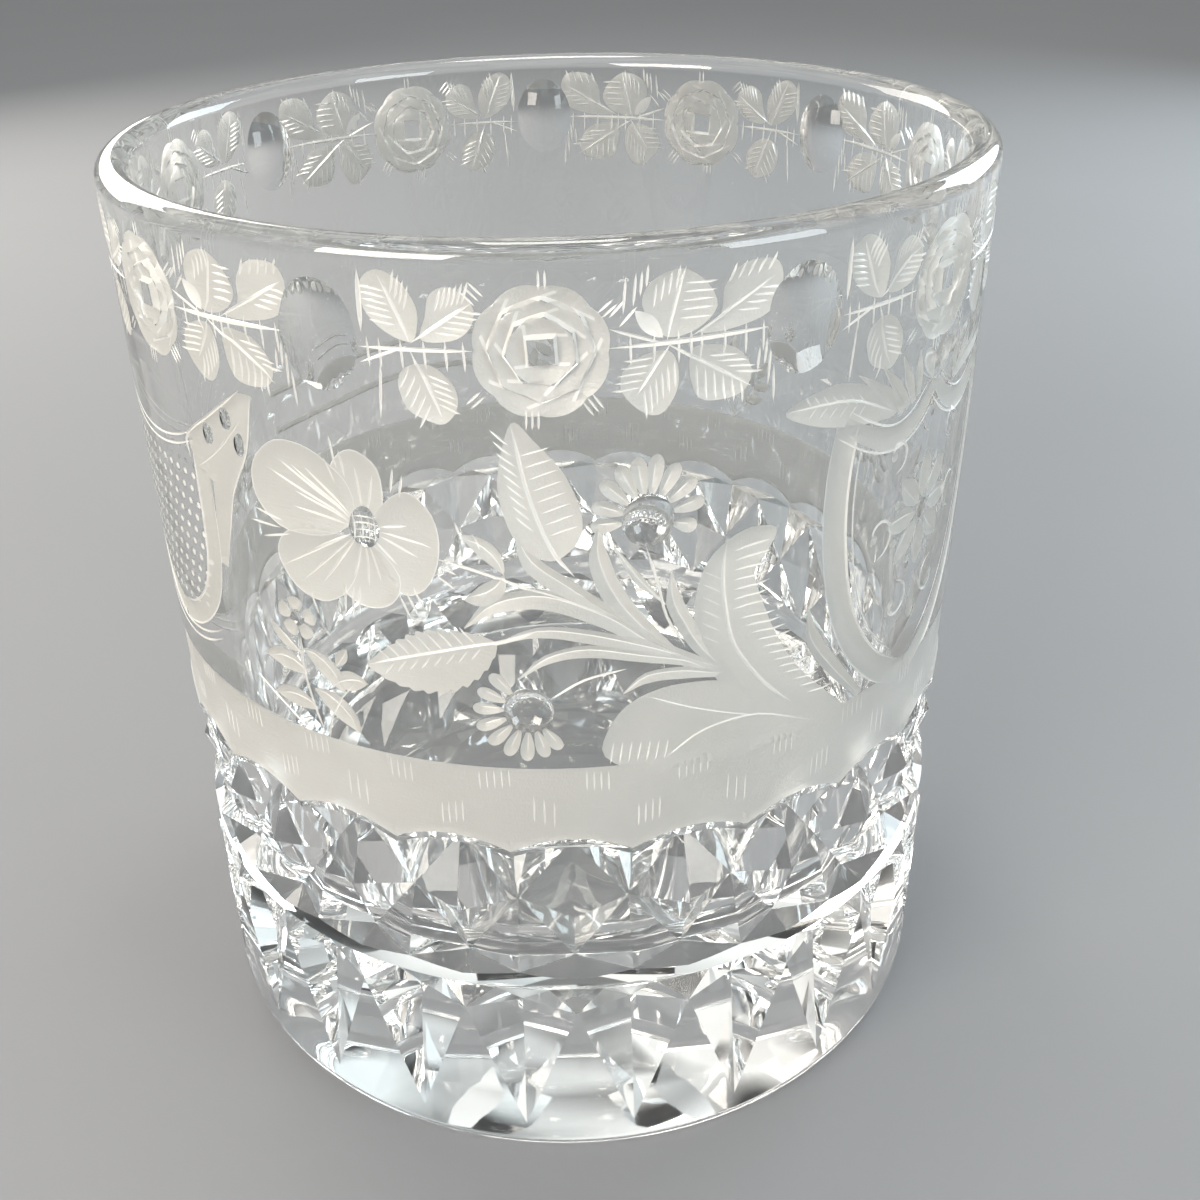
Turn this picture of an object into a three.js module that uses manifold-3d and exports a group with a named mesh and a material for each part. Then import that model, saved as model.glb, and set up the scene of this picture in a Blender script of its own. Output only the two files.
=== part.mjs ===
// Cut and engraved whiskey tumbler, blown and cut from one piece of clear glass.
// Millimetres, +Z up, origin at the centre of the resting face.
import * as THREE from "three";
import { mergeVertices } from "three/addons/utils/BufferGeometryUtils.js";
import Module from "manifold-3d";

const wasm = await Module();
wasm.setup();

// Driving dimensions of the glass.
const HEIGHT = 93;
const WALL_RADIUS = 41;
const FOOT_RADIUS = 41.3;
const RIM_THICKNESS = 3;
const INNER_RADIUS_LOW = 36.6;
const BASE_THICKNESS = 19;
const BOWL_CORNER_RADIUS = 8;
const BOWL_DISH = 0.8;
const FOOT_EDGE_RADIUS = 2.5;
const REST_RING_INNER_RADIUS = 27;
const UNDERSIDE_DISH = 1;
const UNDERSIDE_HALFWAY_RISE = 0.75 * UNDERSIDE_DISH;

// How finely round shapes are divided, and how close two corners are before they are one.
const ROUND_SEGMENTS = 96;
const CURVE_STEPS = 5;
const RIM_STEPS = 6;
const WHEEL_SEGMENTS = 48;
const BALL_SEGMENTS = 24;
const BALL_RINGS = 16;
const WELD_DISTANCE = 1e-4;

// Mitred ring between the foot and the belt.
const RING_LOW = 20;
const RING_HIGH = 23;
const RING_DEPTH = 1.3;

// Belt of diamonds, cut by crossing mitres.
const DIAMOND_COUNT = 24;
const DIAMOND_LOW = 25;
const DIAMOND_HIGH = 39;
const DIAMOND_DEPTH = 2.4;
const DIAMOND_LAND = 0.2;
const CUT_LIFT = 2;

// Lens cuts that run the tops of the diamonds out into the wall.
const LENS_WHEEL_RADIUS = 35;
const LENS_DEPTH = 0.75;
const LENS_HALF_HEIGHT = 1.5;
const LENS_HEIGHT = 39.6;

// Upright mitred flutes around the foot.
const FLUTE_COUNT = 24;
const FLUTE_DEPTH_TOP = 1.9;
const FLUTE_LAND = 0.2;
const FLUTE_RUNOUT_HEIGHT = 4.5;

// Polished oval hollows under the rim.
const OVAL_COUNT = 7;
const OVAL_FIRST_ANGLE = 26.5;
const OVAL_CENTRE_HEIGHT = 85.8;
const OVAL_HALF_WIDTH = 3.3;
const OVAL_HALF_HEIGHT = 4.2;
const OVAL_DEPTH = 0.8;
const OVAL_RADIAL_SEMIAXIS = 3;

// Polished round hollows in the hearts of the daisies: [angle from the front, height, radius].
const BULLSEYES = [
  [9.2, 71.6, 2.05],
  [-4.4, 54.7, 2.05],
];
const BULLSEYE_DEPTH = 1.1;

const GLASS_COLOUR = 0xe6e9e4;

// A closed triangle mesh as a solid for joining and cutting.
function solidOf(geometry) {
  const bare = geometry.index ? geometry.toNonIndexed() : geometry.clone();
  bare.deleteAttribute("normal");
  bare.deleteAttribute("uv");
  const merged = mergeVertices(bare, WELD_DISTANCE);
  const triangles = [];
  const corners = merged.index.array;
  for (let i = 0; i < corners.length; i += 3) {
    const [a, b, c] = corners.slice(i, i + 3);
    if (a !== b && b !== c && c !== a) {
      triangles.push(a, b, c);
    }
  }
  const mesh = new wasm.Mesh({
    numProp: 3,
    vertProperties: new Float32Array(merged.attributes.position.array),
    triVerts: new Uint32Array(triangles),
  });
  return new wasm.Manifold(mesh);
}

// The reverse: a solid's triangles as a three.js geometry.
function geometryOf(solid) {
  const mesh = solid.getMesh();
  const geometry = new THREE.BufferGeometry();
  geometry.setAttribute("position", new THREE.BufferAttribute(mesh.vertProperties, 3));
  geometry.setIndex(new THREE.BufferAttribute(mesh.triVerts, 1));
  geometry.computeVertexNormals();
  return geometry;
}

// Points of an arc in the profile plane, from one angle to another in degrees.
function arc(centreR, centreZ, radius, from, to, steps) {
  const points = [];
  for (let i = 0; i <= steps; i += 1) {
    const angle = THREE.MathUtils.degToRad(from + ((to - from) * i) / steps);
    points.push(new THREE.Vector2(centreR + radius * Math.cos(angle), centreZ + radius * Math.sin(angle)));
  }
  return points;
}

// A turned solid about +Z from profile points (radius, height).
function turned(points, segments = ROUND_SEGMENTS) {
  return new THREE.LatheGeometry(points, segments).rotateX(Math.PI / 2);
}

// The blank: outer wall, rounded rim, bowl, thick base and dished underside. It is turned by half
// a facet, so that no cut's edge runs along an edge between two of its facets.
function blank() {
  const point = (r, z) => new THREE.Vector2(r, z);
  const rimRadius = RIM_THICKNESS / 2;
  const bowlCornerR = INNER_RADIUS_LOW - BOWL_CORNER_RADIUS;
  const bowlCornerZ = BASE_THICKNESS + BOWL_DISH + BOWL_CORNER_RADIUS;
  const ringMiddle = (RING_LOW + RING_HIGH) / 2;
  const profile = [
    point(0, UNDERSIDE_DISH),
    point(REST_RING_INNER_RADIUS / 2, UNDERSIDE_HALFWAY_RISE),
    point(REST_RING_INNER_RADIUS, 0),
    ...arc(FOOT_RADIUS - FOOT_EDGE_RADIUS, FOOT_EDGE_RADIUS, FOOT_EDGE_RADIUS, -90, 0, CURVE_STEPS),
    point(FOOT_RADIUS, RING_LOW),
    point(WALL_RADIUS - RING_DEPTH, ringMiddle),
    point(WALL_RADIUS, RING_HIGH),
    ...arc(WALL_RADIUS - rimRadius, HEIGHT - rimRadius, rimRadius, 0, 180, RIM_STEPS),
    ...arc(bowlCornerR, bowlCornerZ, BOWL_CORNER_RADIUS, 0, -90, CURVE_STEPS),
    point(0, BASE_THICKNESS),
  ];
  return solidOf(turned(profile).rotateZ(Math.PI / ROUND_SEGMENTS));
}

// A long V-shaped cutter along local Y, its edge at x = -depth below the wall's tangent plane.
function mitreCutter(halfWidth, depth, length) {
  const slope = halfWidth / depth;
  const shape = new THREE.Shape([
    new THREE.Vector2(-depth, 0),
    new THREE.Vector2(CUT_LIFT, -slope * (depth + CUT_LIFT)),
    new THREE.Vector2(CUT_LIFT, slope * (depth + CUT_LIFT)),
  ]);
  const prism = new THREE.ExtrudeGeometry(shape, { depth: length, bevelEnabled: false });
  return prism.translate(0, 0, -length / 2);
}

// Moves a cutter made about local X as outward and Z as up to its place on the wall. Angles run
// from the front, -Y, towards +X.
function onWall(geometry, angle, radius, height) {
  geometry.translate(radius, 0, height);
  return geometry.rotateZ(THREE.MathUtils.degToRad(angle) - Math.PI / 2);
}

// Crossing slanted mitres, kept inside the belt's height.
function diamondCuts() {
  const step = 360 / DIAMOND_COUNT;
  const halfAcross = WALL_RADIUS * THREE.MathUtils.degToRad(step / 2);
  const halfUp = (DIAMOND_HIGH - DIAMOND_LOW) / 2;
  const halfWidth = (halfAcross * halfUp) / Math.hypot(halfAcross, halfUp) - DIAMOND_LAND / 2;
  const lean = Math.atan2(halfAcross, halfUp);
  const length = 2 * Math.hypot(halfAcross, halfUp) + 2 * CUT_LIFT;
  const middle = (DIAMOND_LOW + DIAMOND_HIGH) / 2;
  const cutters = [];
  for (let i = 0; i < DIAMOND_COUNT; i += 1) {
    for (const side of [-1, 1]) {
      const cutter = mitreCutter(halfWidth, DIAMOND_DEPTH, length).rotateX(side * lean);
      cutters.push(solidOf(onWall(cutter, (i + 0.5) * step, WALL_RADIUS, middle)));
    }
  }
  const inner = WALL_RADIUS - 2 * DIAMOND_DEPTH;
  const outer = WALL_RADIUS + 2 * CUT_LIFT;
  const band = solidOf(turned([
    new THREE.Vector2(inner, DIAMOND_LOW),
    new THREE.Vector2(outer, DIAMOND_LOW),
    new THREE.Vector2(outer, DIAMOND_HIGH),
    new THREE.Vector2(inner, DIAMOND_HIGH),
    new THREE.Vector2(inner, DIAMOND_LOW),
  ]));
  return wasm.Manifold.union(cutters).intersect(band);
}

// Horizontal lens-shaped cuts, each the mark of a V-edged wheel, over the tops of the diamonds.
function lensCuts() {
  const core = LENS_WHEEL_RADIUS - LENS_DEPTH - CUT_LIFT;
  const slope = LENS_HALF_HEIGHT / LENS_DEPTH;
  const edgeHalf = slope * (LENS_WHEEL_RADIUS - core);
  const step = 360 / DIAMOND_COUNT;
  const cutters = [];
  for (let i = 0; i < DIAMOND_COUNT; i += 1) {
    const wheel = turned([
      new THREE.Vector2(0, -edgeHalf),
      new THREE.Vector2(core, -edgeHalf),
      new THREE.Vector2(LENS_WHEEL_RADIUS, 0),
      new THREE.Vector2(core, edgeHalf),
      new THREE.Vector2(0, edgeHalf),
    ], WHEEL_SEGMENTS);
    const centre = WALL_RADIUS - LENS_DEPTH + LENS_WHEEL_RADIUS;
    cutters.push(solidOf(onWall(wheel, i * step, centre, LENS_HEIGHT)));
  }
  return wasm.Manifold.union(cutters);
}

// Upright mitres, deepest under the ring and running out above the foot's edge.
function fluteCuts() {
  const step = 360 / FLUTE_COUNT;
  const halfWidth = FOOT_RADIUS * THREE.MathUtils.degToRad(step / 2) - FLUTE_LAND / 2;
  const rise = RING_LOW - FLUTE_RUNOUT_HEIGHT;
  const lean = Math.atan2(FLUTE_DEPTH_TOP, rise);
  const length = 2 * rise;
  const cutters = [];
  for (let i = 0; i < FLUTE_COUNT; i += 1) {
    const cutter = mitreCutter(halfWidth, FLUTE_DEPTH_TOP, length).rotateY(-lean);
    cutters.push(solidOf(onWall(cutter, (i + 0.5) * step, FOOT_RADIUS, RING_LOW)));
  }
  const top = RING_LOW + RING_DEPTH / 2;
  const inner = FOOT_RADIUS - 2 * FLUTE_DEPTH_TOP;
  const outer = FOOT_RADIUS + 2 * CUT_LIFT;
  const band = solidOf(turned([
    new THREE.Vector2(inner, FOOT_EDGE_RADIUS),
    new THREE.Vector2(outer, FOOT_EDGE_RADIUS),
    new THREE.Vector2(outer, top),
    new THREE.Vector2(inner, top),
    new THREE.Vector2(inner, FOOT_EDGE_RADIUS),
  ]));
  return wasm.Manifold.union(cutters).intersect(band);
}

// Polished oval hollows, evenly spaced under the rim.
function ovalCuts() {
  const semi = OVAL_RADIAL_SEMIAXIS;
  const atEdgeUp = (semi - OVAL_DEPTH) / semi;
  const fallAcross = (OVAL_HALF_WIDTH * OVAL_HALF_WIDTH) / (2 * WALL_RADIUS);
  const atEdgeAcross = (semi - OVAL_DEPTH + fallAcross) / semi;
  const semiUp = OVAL_HALF_HEIGHT / Math.sqrt(1 - atEdgeUp * atEdgeUp);
  const semiAcross = OVAL_HALF_WIDTH / Math.sqrt(1 - atEdgeAcross * atEdgeAcross);
  const cutters = [];
  for (let i = 0; i < OVAL_COUNT; i += 1) {
    const oval = new THREE.SphereGeometry(1, BALL_SEGMENTS, BALL_RINGS).scale(semi, semiAcross, semiUp);
    const angle = OVAL_FIRST_ANGLE + (i * 360) / OVAL_COUNT;
    cutters.push(solidOf(onWall(oval, angle, WALL_RADIUS - OVAL_DEPTH + semi, OVAL_CENTRE_HEIGHT)));
  }
  return wasm.Manifold.union(cutters);
}

// Small round lens cuts in the flower hearts.
function bullseyeCuts() {
  const cutters = BULLSEYES.map(([angle, height, radius]) => {
    const ball = (radius * radius + BULLSEYE_DEPTH * BULLSEYE_DEPTH) / (2 * BULLSEYE_DEPTH);
    const sphere = new THREE.SphereGeometry(ball, BALL_SEGMENTS, BALL_RINGS);
    return solidOf(onWall(sphere, angle, WALL_RADIUS - BULLSEYE_DEPTH + ball, height));
  });
  return wasm.Manifold.union(cutters);
}

const body = blank()
  .subtract(diamondCuts())
  .subtract(lensCuts())
  .subtract(fluteCuts())
  .subtract(ovalCuts())
  .subtract(bullseyeCuts());

const glass = new THREE.MeshStandardMaterial({ color: GLASS_COLOUR, roughness: 0.05, metalness: 0 });
const tumblerBody = new THREE.Mesh(geometryOf(body), glass);
tumblerBody.name = "tumbler_body";

const tumbler = new THREE.Group();
tumbler.add(tumblerBody);

export default tumbler;
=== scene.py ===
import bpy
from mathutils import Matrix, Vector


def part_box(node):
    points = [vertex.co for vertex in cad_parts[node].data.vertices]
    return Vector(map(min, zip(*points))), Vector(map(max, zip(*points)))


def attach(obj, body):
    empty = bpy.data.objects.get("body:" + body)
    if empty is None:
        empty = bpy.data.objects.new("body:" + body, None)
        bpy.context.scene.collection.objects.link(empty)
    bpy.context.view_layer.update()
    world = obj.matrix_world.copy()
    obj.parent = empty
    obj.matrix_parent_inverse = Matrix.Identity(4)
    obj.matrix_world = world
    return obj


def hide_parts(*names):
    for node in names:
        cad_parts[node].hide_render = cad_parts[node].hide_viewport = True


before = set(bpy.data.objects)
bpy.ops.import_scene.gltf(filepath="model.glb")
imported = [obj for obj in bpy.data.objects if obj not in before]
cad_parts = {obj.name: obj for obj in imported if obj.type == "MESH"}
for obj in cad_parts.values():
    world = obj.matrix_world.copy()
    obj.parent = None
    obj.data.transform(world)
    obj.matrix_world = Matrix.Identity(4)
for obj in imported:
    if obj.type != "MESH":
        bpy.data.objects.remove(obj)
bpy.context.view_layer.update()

import copy
import math

import bpy
import numpy as np
from mathutils import Matrix, Vector
from mathutils.geometry import delaunay_2d_cdt
from mathutils.kdtree import KDTree

# The glass is one lathe-turned body. Its outer wall is laid out flat as a drawing, in millimetres:
# x is the arc from the front towards the right, y the height above the table. Every cut of the
# wheel is an outline on that drawing with a depth. The drawing is meshed and rolled up again.

MM = 0.001
body_low, body_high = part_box("tumbler_body")

# Main sizes, in millimetres.
HEIGHT = (body_high.z - body_low.z) / MM
CAD_FACETS = 96
FOOT_RADIUS = (body_high.x - body_low.x) / 2 / MM / math.cos(math.pi / CAD_FACETS)
FOOT_STEP = 0.3
WALL_RADIUS = FOOT_RADIUS - FOOT_STEP
RIM_THICKNESS = 3.0
INNER_RADIUS_LOW = 36.6
BASE_THICKNESS = 19.0
BOWL_CORNER_RADIUS = 8.0
BOWL_DISH = 0.8
FOOT_EDGE_RADIUS = 2.5
REST_RING_INNER_RADIUS = 27.0
UNDERSIDE_DISH = 1.0
AIR_GAP = 0.15
ARC = math.radians(1) * WALL_RADIUS
TURN = 360 * ARC

# Heights of the bands, from the foot up.
FLUTE_END = 4.5
RING_LOW, RING_MIDDLE, RING_HIGH = 20.0, 21.5, 23.0
NOTCH_LOW = 24.2
BELT_LOW, BELT_MIDDLE, BELT_HIGH = 25.0, 32.0, 39.0
LENS_MIDDLE = 39.6
SCALLOPS_END = LENS_MIDDLE + 2
BAND_TOP = 48.8
RIM_START = HEIGHT - RIM_THICKNESS / 2

# The polished cuts. The facets' pitch is half the angle of one diamond.
DIAMOND_COUNT = 24
FACET_PITCH = 180 / DIAMOND_COUNT
FLUTE_DEPTH = 1.9
RING_DEPTH = 1.3
BELT_DEPTH = 2.4
LENS_DEPTH = 0.75
LENS_WHEEL_RADIUS = 35.0
LENS_SLOPE = 2.0
OVAL_COUNT = 7
FRIEZE_PITCH = 360 / OVAL_COUNT

# The engraving. Fine strokes are drawn at their nominal width and cut a little narrower.
FINE_WHEEL = 0.82
BULLSEYE_TALL = 1.08
BAND_DEPTH = 0.16
SHIELD_ANGLE = 50
CARTOUCHE_ANGLE = -61

# How finely the drawing is meshed.
SEAM_ANGLE = 142.5
ROUND_STEPS = 288
STEP_ANGLE = 360 / ROUND_STEPS
ARC_STEPS = 13
COARSE = 1.35
FINE = 0.5
MARGIN = 0.4
WELD = 0.003
SEAM_RIGHT = SEAM_ANGLE * ARC
SEAM_LEFT = SEAM_RIGHT - TURN

# The studio, in metres.
GLASS_IOR = 1.53
FLOOR_SIZE = 6.0
LIGHT_TARGET = Vector((0, 0, 0.05))
CAMERA_PLACE = (0, -0.13162, 0.11840)

# The finishes, in the order of the materials, and how a cut meets the ones that it crosses.
# The third finish is ground smoother than the second, and its whiter colour is a painted highlight.
CLEAR, GROUND, SMOOTH_PAINTED_BRIGHT = range(3)
DEEPEST, ADDED, INSTEAD = range(3)

# Names of face groups that aren't single cuts. Edges between groups are sharp.
PLAIN, RING_UNDER, RING_OVER, IN_BAND = -1, -2, -3, -4


def at(angle, height):
    """A place on the drawing, from degrees round the wall and a height."""
    return np.array((angle * ARC, height), float)


def places(*pairs):
    """A row of places on the drawing."""
    return np.array([at(a, h) for a, h in pairs])


def way_of(turn):
    """The direction at an angle on the drawing, and the one across it."""
    return np.array((math.cos(turn), math.sin(turn))), np.array((-math.sin(turn), math.cos(turn)))


# Outlines ---------------------------------------------------------------------------------------


def spline(points, steps=4, closed=True):
    """A smooth curve through a few points."""
    points = np.asarray(points, float)
    if closed:
        padded = np.vstack([points[-1:], points, points[:2]])
    else:
        padded = np.vstack([2 * points[:1] - points[1:2], points, 2 * points[-1:] - points[-2:-1]])
    curve = []
    for a, b, c, d in zip(padded, padded[1:], padded[2:], padded[3:]):
        for t in np.arange(steps) / steps:
            bent = (2 * a - 5 * b + 4 * c - d) * t**2 + (3 * b - a - 3 * c + d) * t**3
            curve.append(0.5 * (2 * b + (c - a) * t + bent))
    if not closed:
        curve.append(points[-1])
    return np.array(curve)


def ellipse(centre, across, up, steps=24):
    angles = np.linspace(0, 2 * math.pi, steps, endpoint=False)
    return np.column_stack([centre[0] + across * np.cos(angles), centre[1] + up * np.sin(angles)])


def along(start, end, bend=0.0, steps=12):
    """Points, directions across and fractions along a line that bows by a share of its length."""
    start, end = np.asarray(start, float), np.asarray(end, float)
    t = np.linspace(0, 1, steps + 1)
    chord = end - start
    side = np.array((-chord[1], chord[0]))
    points = start + np.outer(t, chord) + np.outer(4 * t * (1 - t) * bend, side)
    tangent = chord + np.outer(4 * (1 - 2 * t) * bend, side)
    across = np.column_stack([-tangent[:, 1], tangent[:, 0]])
    return points, across / np.linalg.norm(across, axis=1, keepdims=True), t


def leaf(base, tip, width, bend=0.0, belly=1.0, teeth=0, bite=0.16):
    """A leaf from its base to its pointed tip. A belly above 1 moves its widest part to the tip."""
    steps = 4 * teeth or 12
    points, across, t = along(base, tip, bend, steps)
    half = width / 2 * np.sin(math.pi * t**belly) ** 0.8
    if teeth:
        saw = np.tile([0.35, 0.75, 1.0, 0.0], teeth)[: steps - 1]
        half[1:-1] *= 1 - bite + bite * saw
    left = points + across * half[:, None]
    right = points - across * half[:, None]
    return np.vstack([left, right[-2:0:-1]])


def petal(base, tip, width, steps=20):
    """A petal, narrow at its base and round at its tip."""
    base, tip = np.asarray(base, float), np.asarray(tip, float)
    chord = tip - base
    side = np.array((-chord[1], chord[0])) / np.linalg.norm(chord)
    angles = np.linspace(0, 2 * math.pi, steps, endpoint=False)
    x = (1 - np.cos(angles)) / 2
    y = width / 2 * np.sin(angles) * (0.45 + 0.7 * x)
    return base + np.outer(x, chord) + np.outer(y, side)


def offset(path, gap):
    """The same path moved sideways, by one gap or by a gap at each point."""
    tangent = np.gradient(path, axis=0)
    across = np.column_stack([-tangent[:, 1], tangent[:, 0]])
    across /= np.linalg.norm(across, axis=1, keepdims=True)
    return path + across * np.broadcast_to(gap, len(path))[:, None]


def ribbon(path, widths):
    """A band of a given width, or of a width at each point, along an open path."""
    half = np.asarray(widths, float) / 2
    return np.vstack([offset(path, half), offset(path, -half)[::-1]])


def mirrored(points):
    """The same line on the other side of the front's middle, run the other way."""
    return (points * (-1, 1))[::-1]


def split(line, longest, closed):
    """The same line with no piece longer than asked."""
    ends = np.roll(line, -1, axis=0) if closed else line[1:]
    out = []
    for a, b in zip(line, ends):
        count = max(1, math.ceil(np.linalg.norm(b - a) / longest))
        out.extend(a + (b - a) * i / count for i in range(count))
    if not closed:
        out.append(line[-1])
    return np.array(out)


def inside(outline, points):
    """Which points lie inside an outline."""
    x, y = points[:, 0:1], points[:, 1:2]
    x0, y0 = outline[:, 0], outline[:, 1]
    x1, y1 = np.roll(x0, -1), np.roll(y0, -1)
    crosses = (y0 > y) != (y1 > y)
    rise = np.where(y1 == y0, 1.0, y1 - y0)
    return np.sum(crosses & (x < x0 + (x1 - x0) * (y - y0) / rise), axis=1) % 2 == 1


def edge_gap(outline, points):
    """How far each point is from an outline."""
    a = outline[None]
    ab = np.roll(outline, -1, axis=0)[None] - a
    ap = points[:, None] - a
    t = np.clip((ap * ab).sum(2) / np.maximum((ab * ab).sum(2), 1e-12), 0, 1)
    return np.linalg.norm(ap - ab * t[..., None], axis=2).min(axis=1)


# Cuts -------------------------------------------------------------------------------------------


class Cut:
    """One mark of the wheel: an outline on the drawing, and a depth inside it."""

    finish = GROUND
    rule = DEEPEST
    # Whether its faces are plane, whether it has loose points close together or none at all, and
    # whether its depth also holds on its outline, where it meets the next cut.
    flat = False
    filled = False
    bare = False
    shared = False
    longest = COARSE

    def __init__(self, outline, depth, creases=(), finish=None):
        self.outline = np.asarray(outline, float)
        self.depth = depth
        self.creases = [np.asarray(c, float) for c in creases]
        self.shift = 0.0
        if finish is not None:
            self.finish = finish

    def moved(self, angle):
        other = copy.copy(self)
        step = np.array((angle * ARC, 0.0))
        other.outline = self.outline + step
        other.creases = [c + step for c in self.creases]
        other.shift = self.shift + angle * ARC
        return other

    def depth_at(self, points):
        local = points - (self.shift, 0)
        return self.depth(local, edge_gap(self.outline, points))


class Hollow(Cut):
    """Ground with a round wheel."""

    filled = True


class Blade(Cut):
    """Ground with a mitred wheel."""

    flat = True


class Stroke(Cut):
    """A fine line, cut into whatever it crosses, in the smoother finish whose whiter colour is a painted
    highlight.
    """

    finish = SMOOTH_PAINTED_BRIGHT
    rule = ADDED
    flat = True


class Lens(Cut):
    """A polished round hollow. It takes away what was engraved there before."""

    finish = CLEAR
    rule = INSTEAD
    bare = True


class Band(Cut):
    """A piece of the matt belt."""

    filled = True
    shared = True


class Facet(Cut):
    """A group of polished planes."""

    finish = CLEAR
    flat = True
    bare = True
    shared = True
    longest = math.inf


class Scallop(Facet):
    """A polished cut of a wheel's curved edge."""

    flat = False


def moved(cuts, angle):
    return [cut.moved(angle) for cut in cuts]


def rounded(depth, reach):
    return lambda points, gap: depth * np.sin(np.minimum(gap / reach, 1) * math.pi / 2)


def sloping(slope, deepest=math.inf):
    return lambda points, gap: np.minimum(slope * gap, deepest)


def hollow(outline, depth=0.3, reach=1.0, finish=GROUND):
    """A shallow ground hollow with rounded sides."""
    return Hollow(outline, rounded(depth, reach), finish=finish)


def blade(path, widths, slope=0.55):
    """A long leaf cut as a V, lighter on one slope than on the other."""
    centre = spline(path, closed=False)
    width = np.interp(np.linspace(0, 1, len(centre)), np.linspace(0, 1, len(widths)), widths)
    return Blade(ribbon(centre, width), sloping(slope, max(widths) / 2 * slope), [centre[1:-1]])


def line(start, end, width=0.26, bend=0.0):
    """A tapering stroke, V-shaped in section, painted whiter as a highlight."""
    points, across, _ = along(start, end, bend, 5)
    half = FINE_WHEEL * width / 2 * np.array([0, 0.8, 1, 1, 0.8, 0])[:, None]
    outline = np.vstack([points + across * half, (points - across * half)[-2:0:-1]])
    return Stroke(outline, sloping(0.9), [points])


def stroke(points, width=0.3, steps=4, slope=0.9):
    """A stroke along a curve, thinner at its ends, painted whiter as a highlight."""
    path = spline(points, steps, closed=False)
    t = np.linspace(0, 1, len(path))
    widths = FINE_WHEEL * width * np.minimum(1, 6 * np.minimum(t, 1 - t) + 0.05)
    return Stroke(ribbon(path, widths), sloping(slope), [path[1:-1]])


def mark(start, end, width=0.26):
    """A stroke between two places, each an angle and a height."""
    return line(at(*start), at(*end), width)


def marks(pairs, width=0.26):
    return [mark(start, end, width) for start, end in pairs]


def curve(*pairs, width=0.3):
    """A stroke through places, each an angle and a height."""
    return stroke(places(*pairs), width)


def hatch(first, last, count, reach, width=0.26, taper=0.0):
    """Even strokes from a row of starting places, all the same way. A taper shortens the later ones."""
    first, last, reach = at(*first), at(*last), at(*reach)
    made = []
    for i in range(count):
        t = i / max(1, count - 1)
        start = first + (last - first) * t
        made.append(line(start, start + reach * (1 - taper * t), width))
    return made


def ringed(outline_at, shares, depth):
    """A polished hollow, meshed with rings at shares of its size."""
    rings = [outline_at(share) for share in shares]
    return Lens(outline_at(1.0), depth, [np.vstack([ring, ring[:1]]) for ring in rings])


def bullseye(centre, radius, ball):
    """A polished round hollow, the mark of a ball, a little taller than wide."""
    rise = math.sqrt(ball**2 - radius**2)

    def depth(points, gap):
        away = np.minimum(np.linalg.norm((points - centre) / (1, BULLSEYE_TALL), axis=1), radius)
        return np.sqrt(ball**2 - away**2) - rise

    def ring(share):
        return ellipse(centre, radius * share, radius * share * BULLSEYE_TALL, steps=40)

    return ringed(ring, (0.94, 0.86, 0.76, 0.64, 0.5, 0.34, 0.17), depth)


def lens(centre, across, up, deepest):
    """A polished hollow, shaped like the inside of a bowl."""
    def depth(points, gap):
        ratio = (points - centre) / (across, up)
        return deepest * np.maximum(0, 1 - (ratio**2).sum(axis=1))

    def ring(share):
        return ellipse(centre, across * share, up * share, steps=40 if share == 1 else 32)

    return ringed(ring, (0.85, 0.66, 0.46, 0.24), depth)


# The frieze under the rim -----------------------------------------------------------------------


def rose_petal(centre, angle, out, radius, edge, depth):
    """A slanting cut, round outside and straight inside, where it is deepest and ends in a step painted
    whiter as a highlight.
    """
    way, side = way_of(angle)
    middle = centre + way * out
    reach = math.acos((edge - out) / radius)
    turns = np.linspace(-reach, reach, ARC_STEPS)
    arc = middle + radius * (np.outer(np.cos(turns), way) + np.outer(np.sin(turns), side))
    step = 0.24
    inner = [arc[-1] + way * step - side * 0.1, arc[0] + way * step + side * 0.1]

    def slant(points, gap):
        depth_in = radius - np.linalg.norm(points - middle, axis=1)
        from_edge = (points - centre) @ way - edge
        return depth * np.minimum(depth_in / (radius + out - edge) + 0.15, from_edge / step)

    # This strip over the step's face adds no depth: it only paints the step whiter, a painted highlight along
    # its edge.
    riser_highlight = np.array([arc[-1], arc[0], inner[1], inner[0]])
    return [Hollow(arc, slant, [inner]), Blade(riser_highlight, sloping(0.0), finish=SMOOTH_PAINTED_BRIGHT)]


def rose():
    """Rings of petals round a square heart, and little groups of strokes round it."""
    centre = at(-1.5, 85.3)
    cuts = []
    for count, turn, out, radius, edge, depth in [
        (8, 0.35, 2.0, 3.0, 3.5, 0.55), (7, 0.1, 1.3, 2.5, 2.35, 0.6), (4, 0.05, 0.4, 2.1, 0.95, 0.6),
    ]:
        for i in range(count):
            cuts += rose_petal(centre, turn + 2 * math.pi * i / count, out, radius, edge, depth)
    for angle, height, turn, count in [
        (-7.6, 89.2, 135, 3), (-1.2, 90.0, 90, 2), (-7.8, 82.0, 222, 2),
        (-2.6, 80.6, 268, 3), (3.2, 81.6, 305, 3), (4.6, 88.0, 40, 2),
    ]:
        way, side = way_of(math.radians(turn))
        for i in range(count):
            start = at(angle, height) + side * 0.45 * (i - (count - 1) / 2)
            cuts.append(line(start - way * 0.3, start + way * 1.2, 0.22))
    return cuts


def frieze_leaf(outline, rib, *hatchings):
    """A leaf of the frieze with its rib, hatched in a few directions."""
    cuts = [hollow(spline(places(*outline)), 0.28, 1.1), mark(*rib, 0.36)]
    for hatching in hatchings:
        cuts += hatch(*hatching)
    return cuts


def fence(angles, high, low):
    """Upright strokes that cross a stem."""
    return [mark((angle, high), (angle + 0.1, low), 0.24) for angle in angles]


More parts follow.
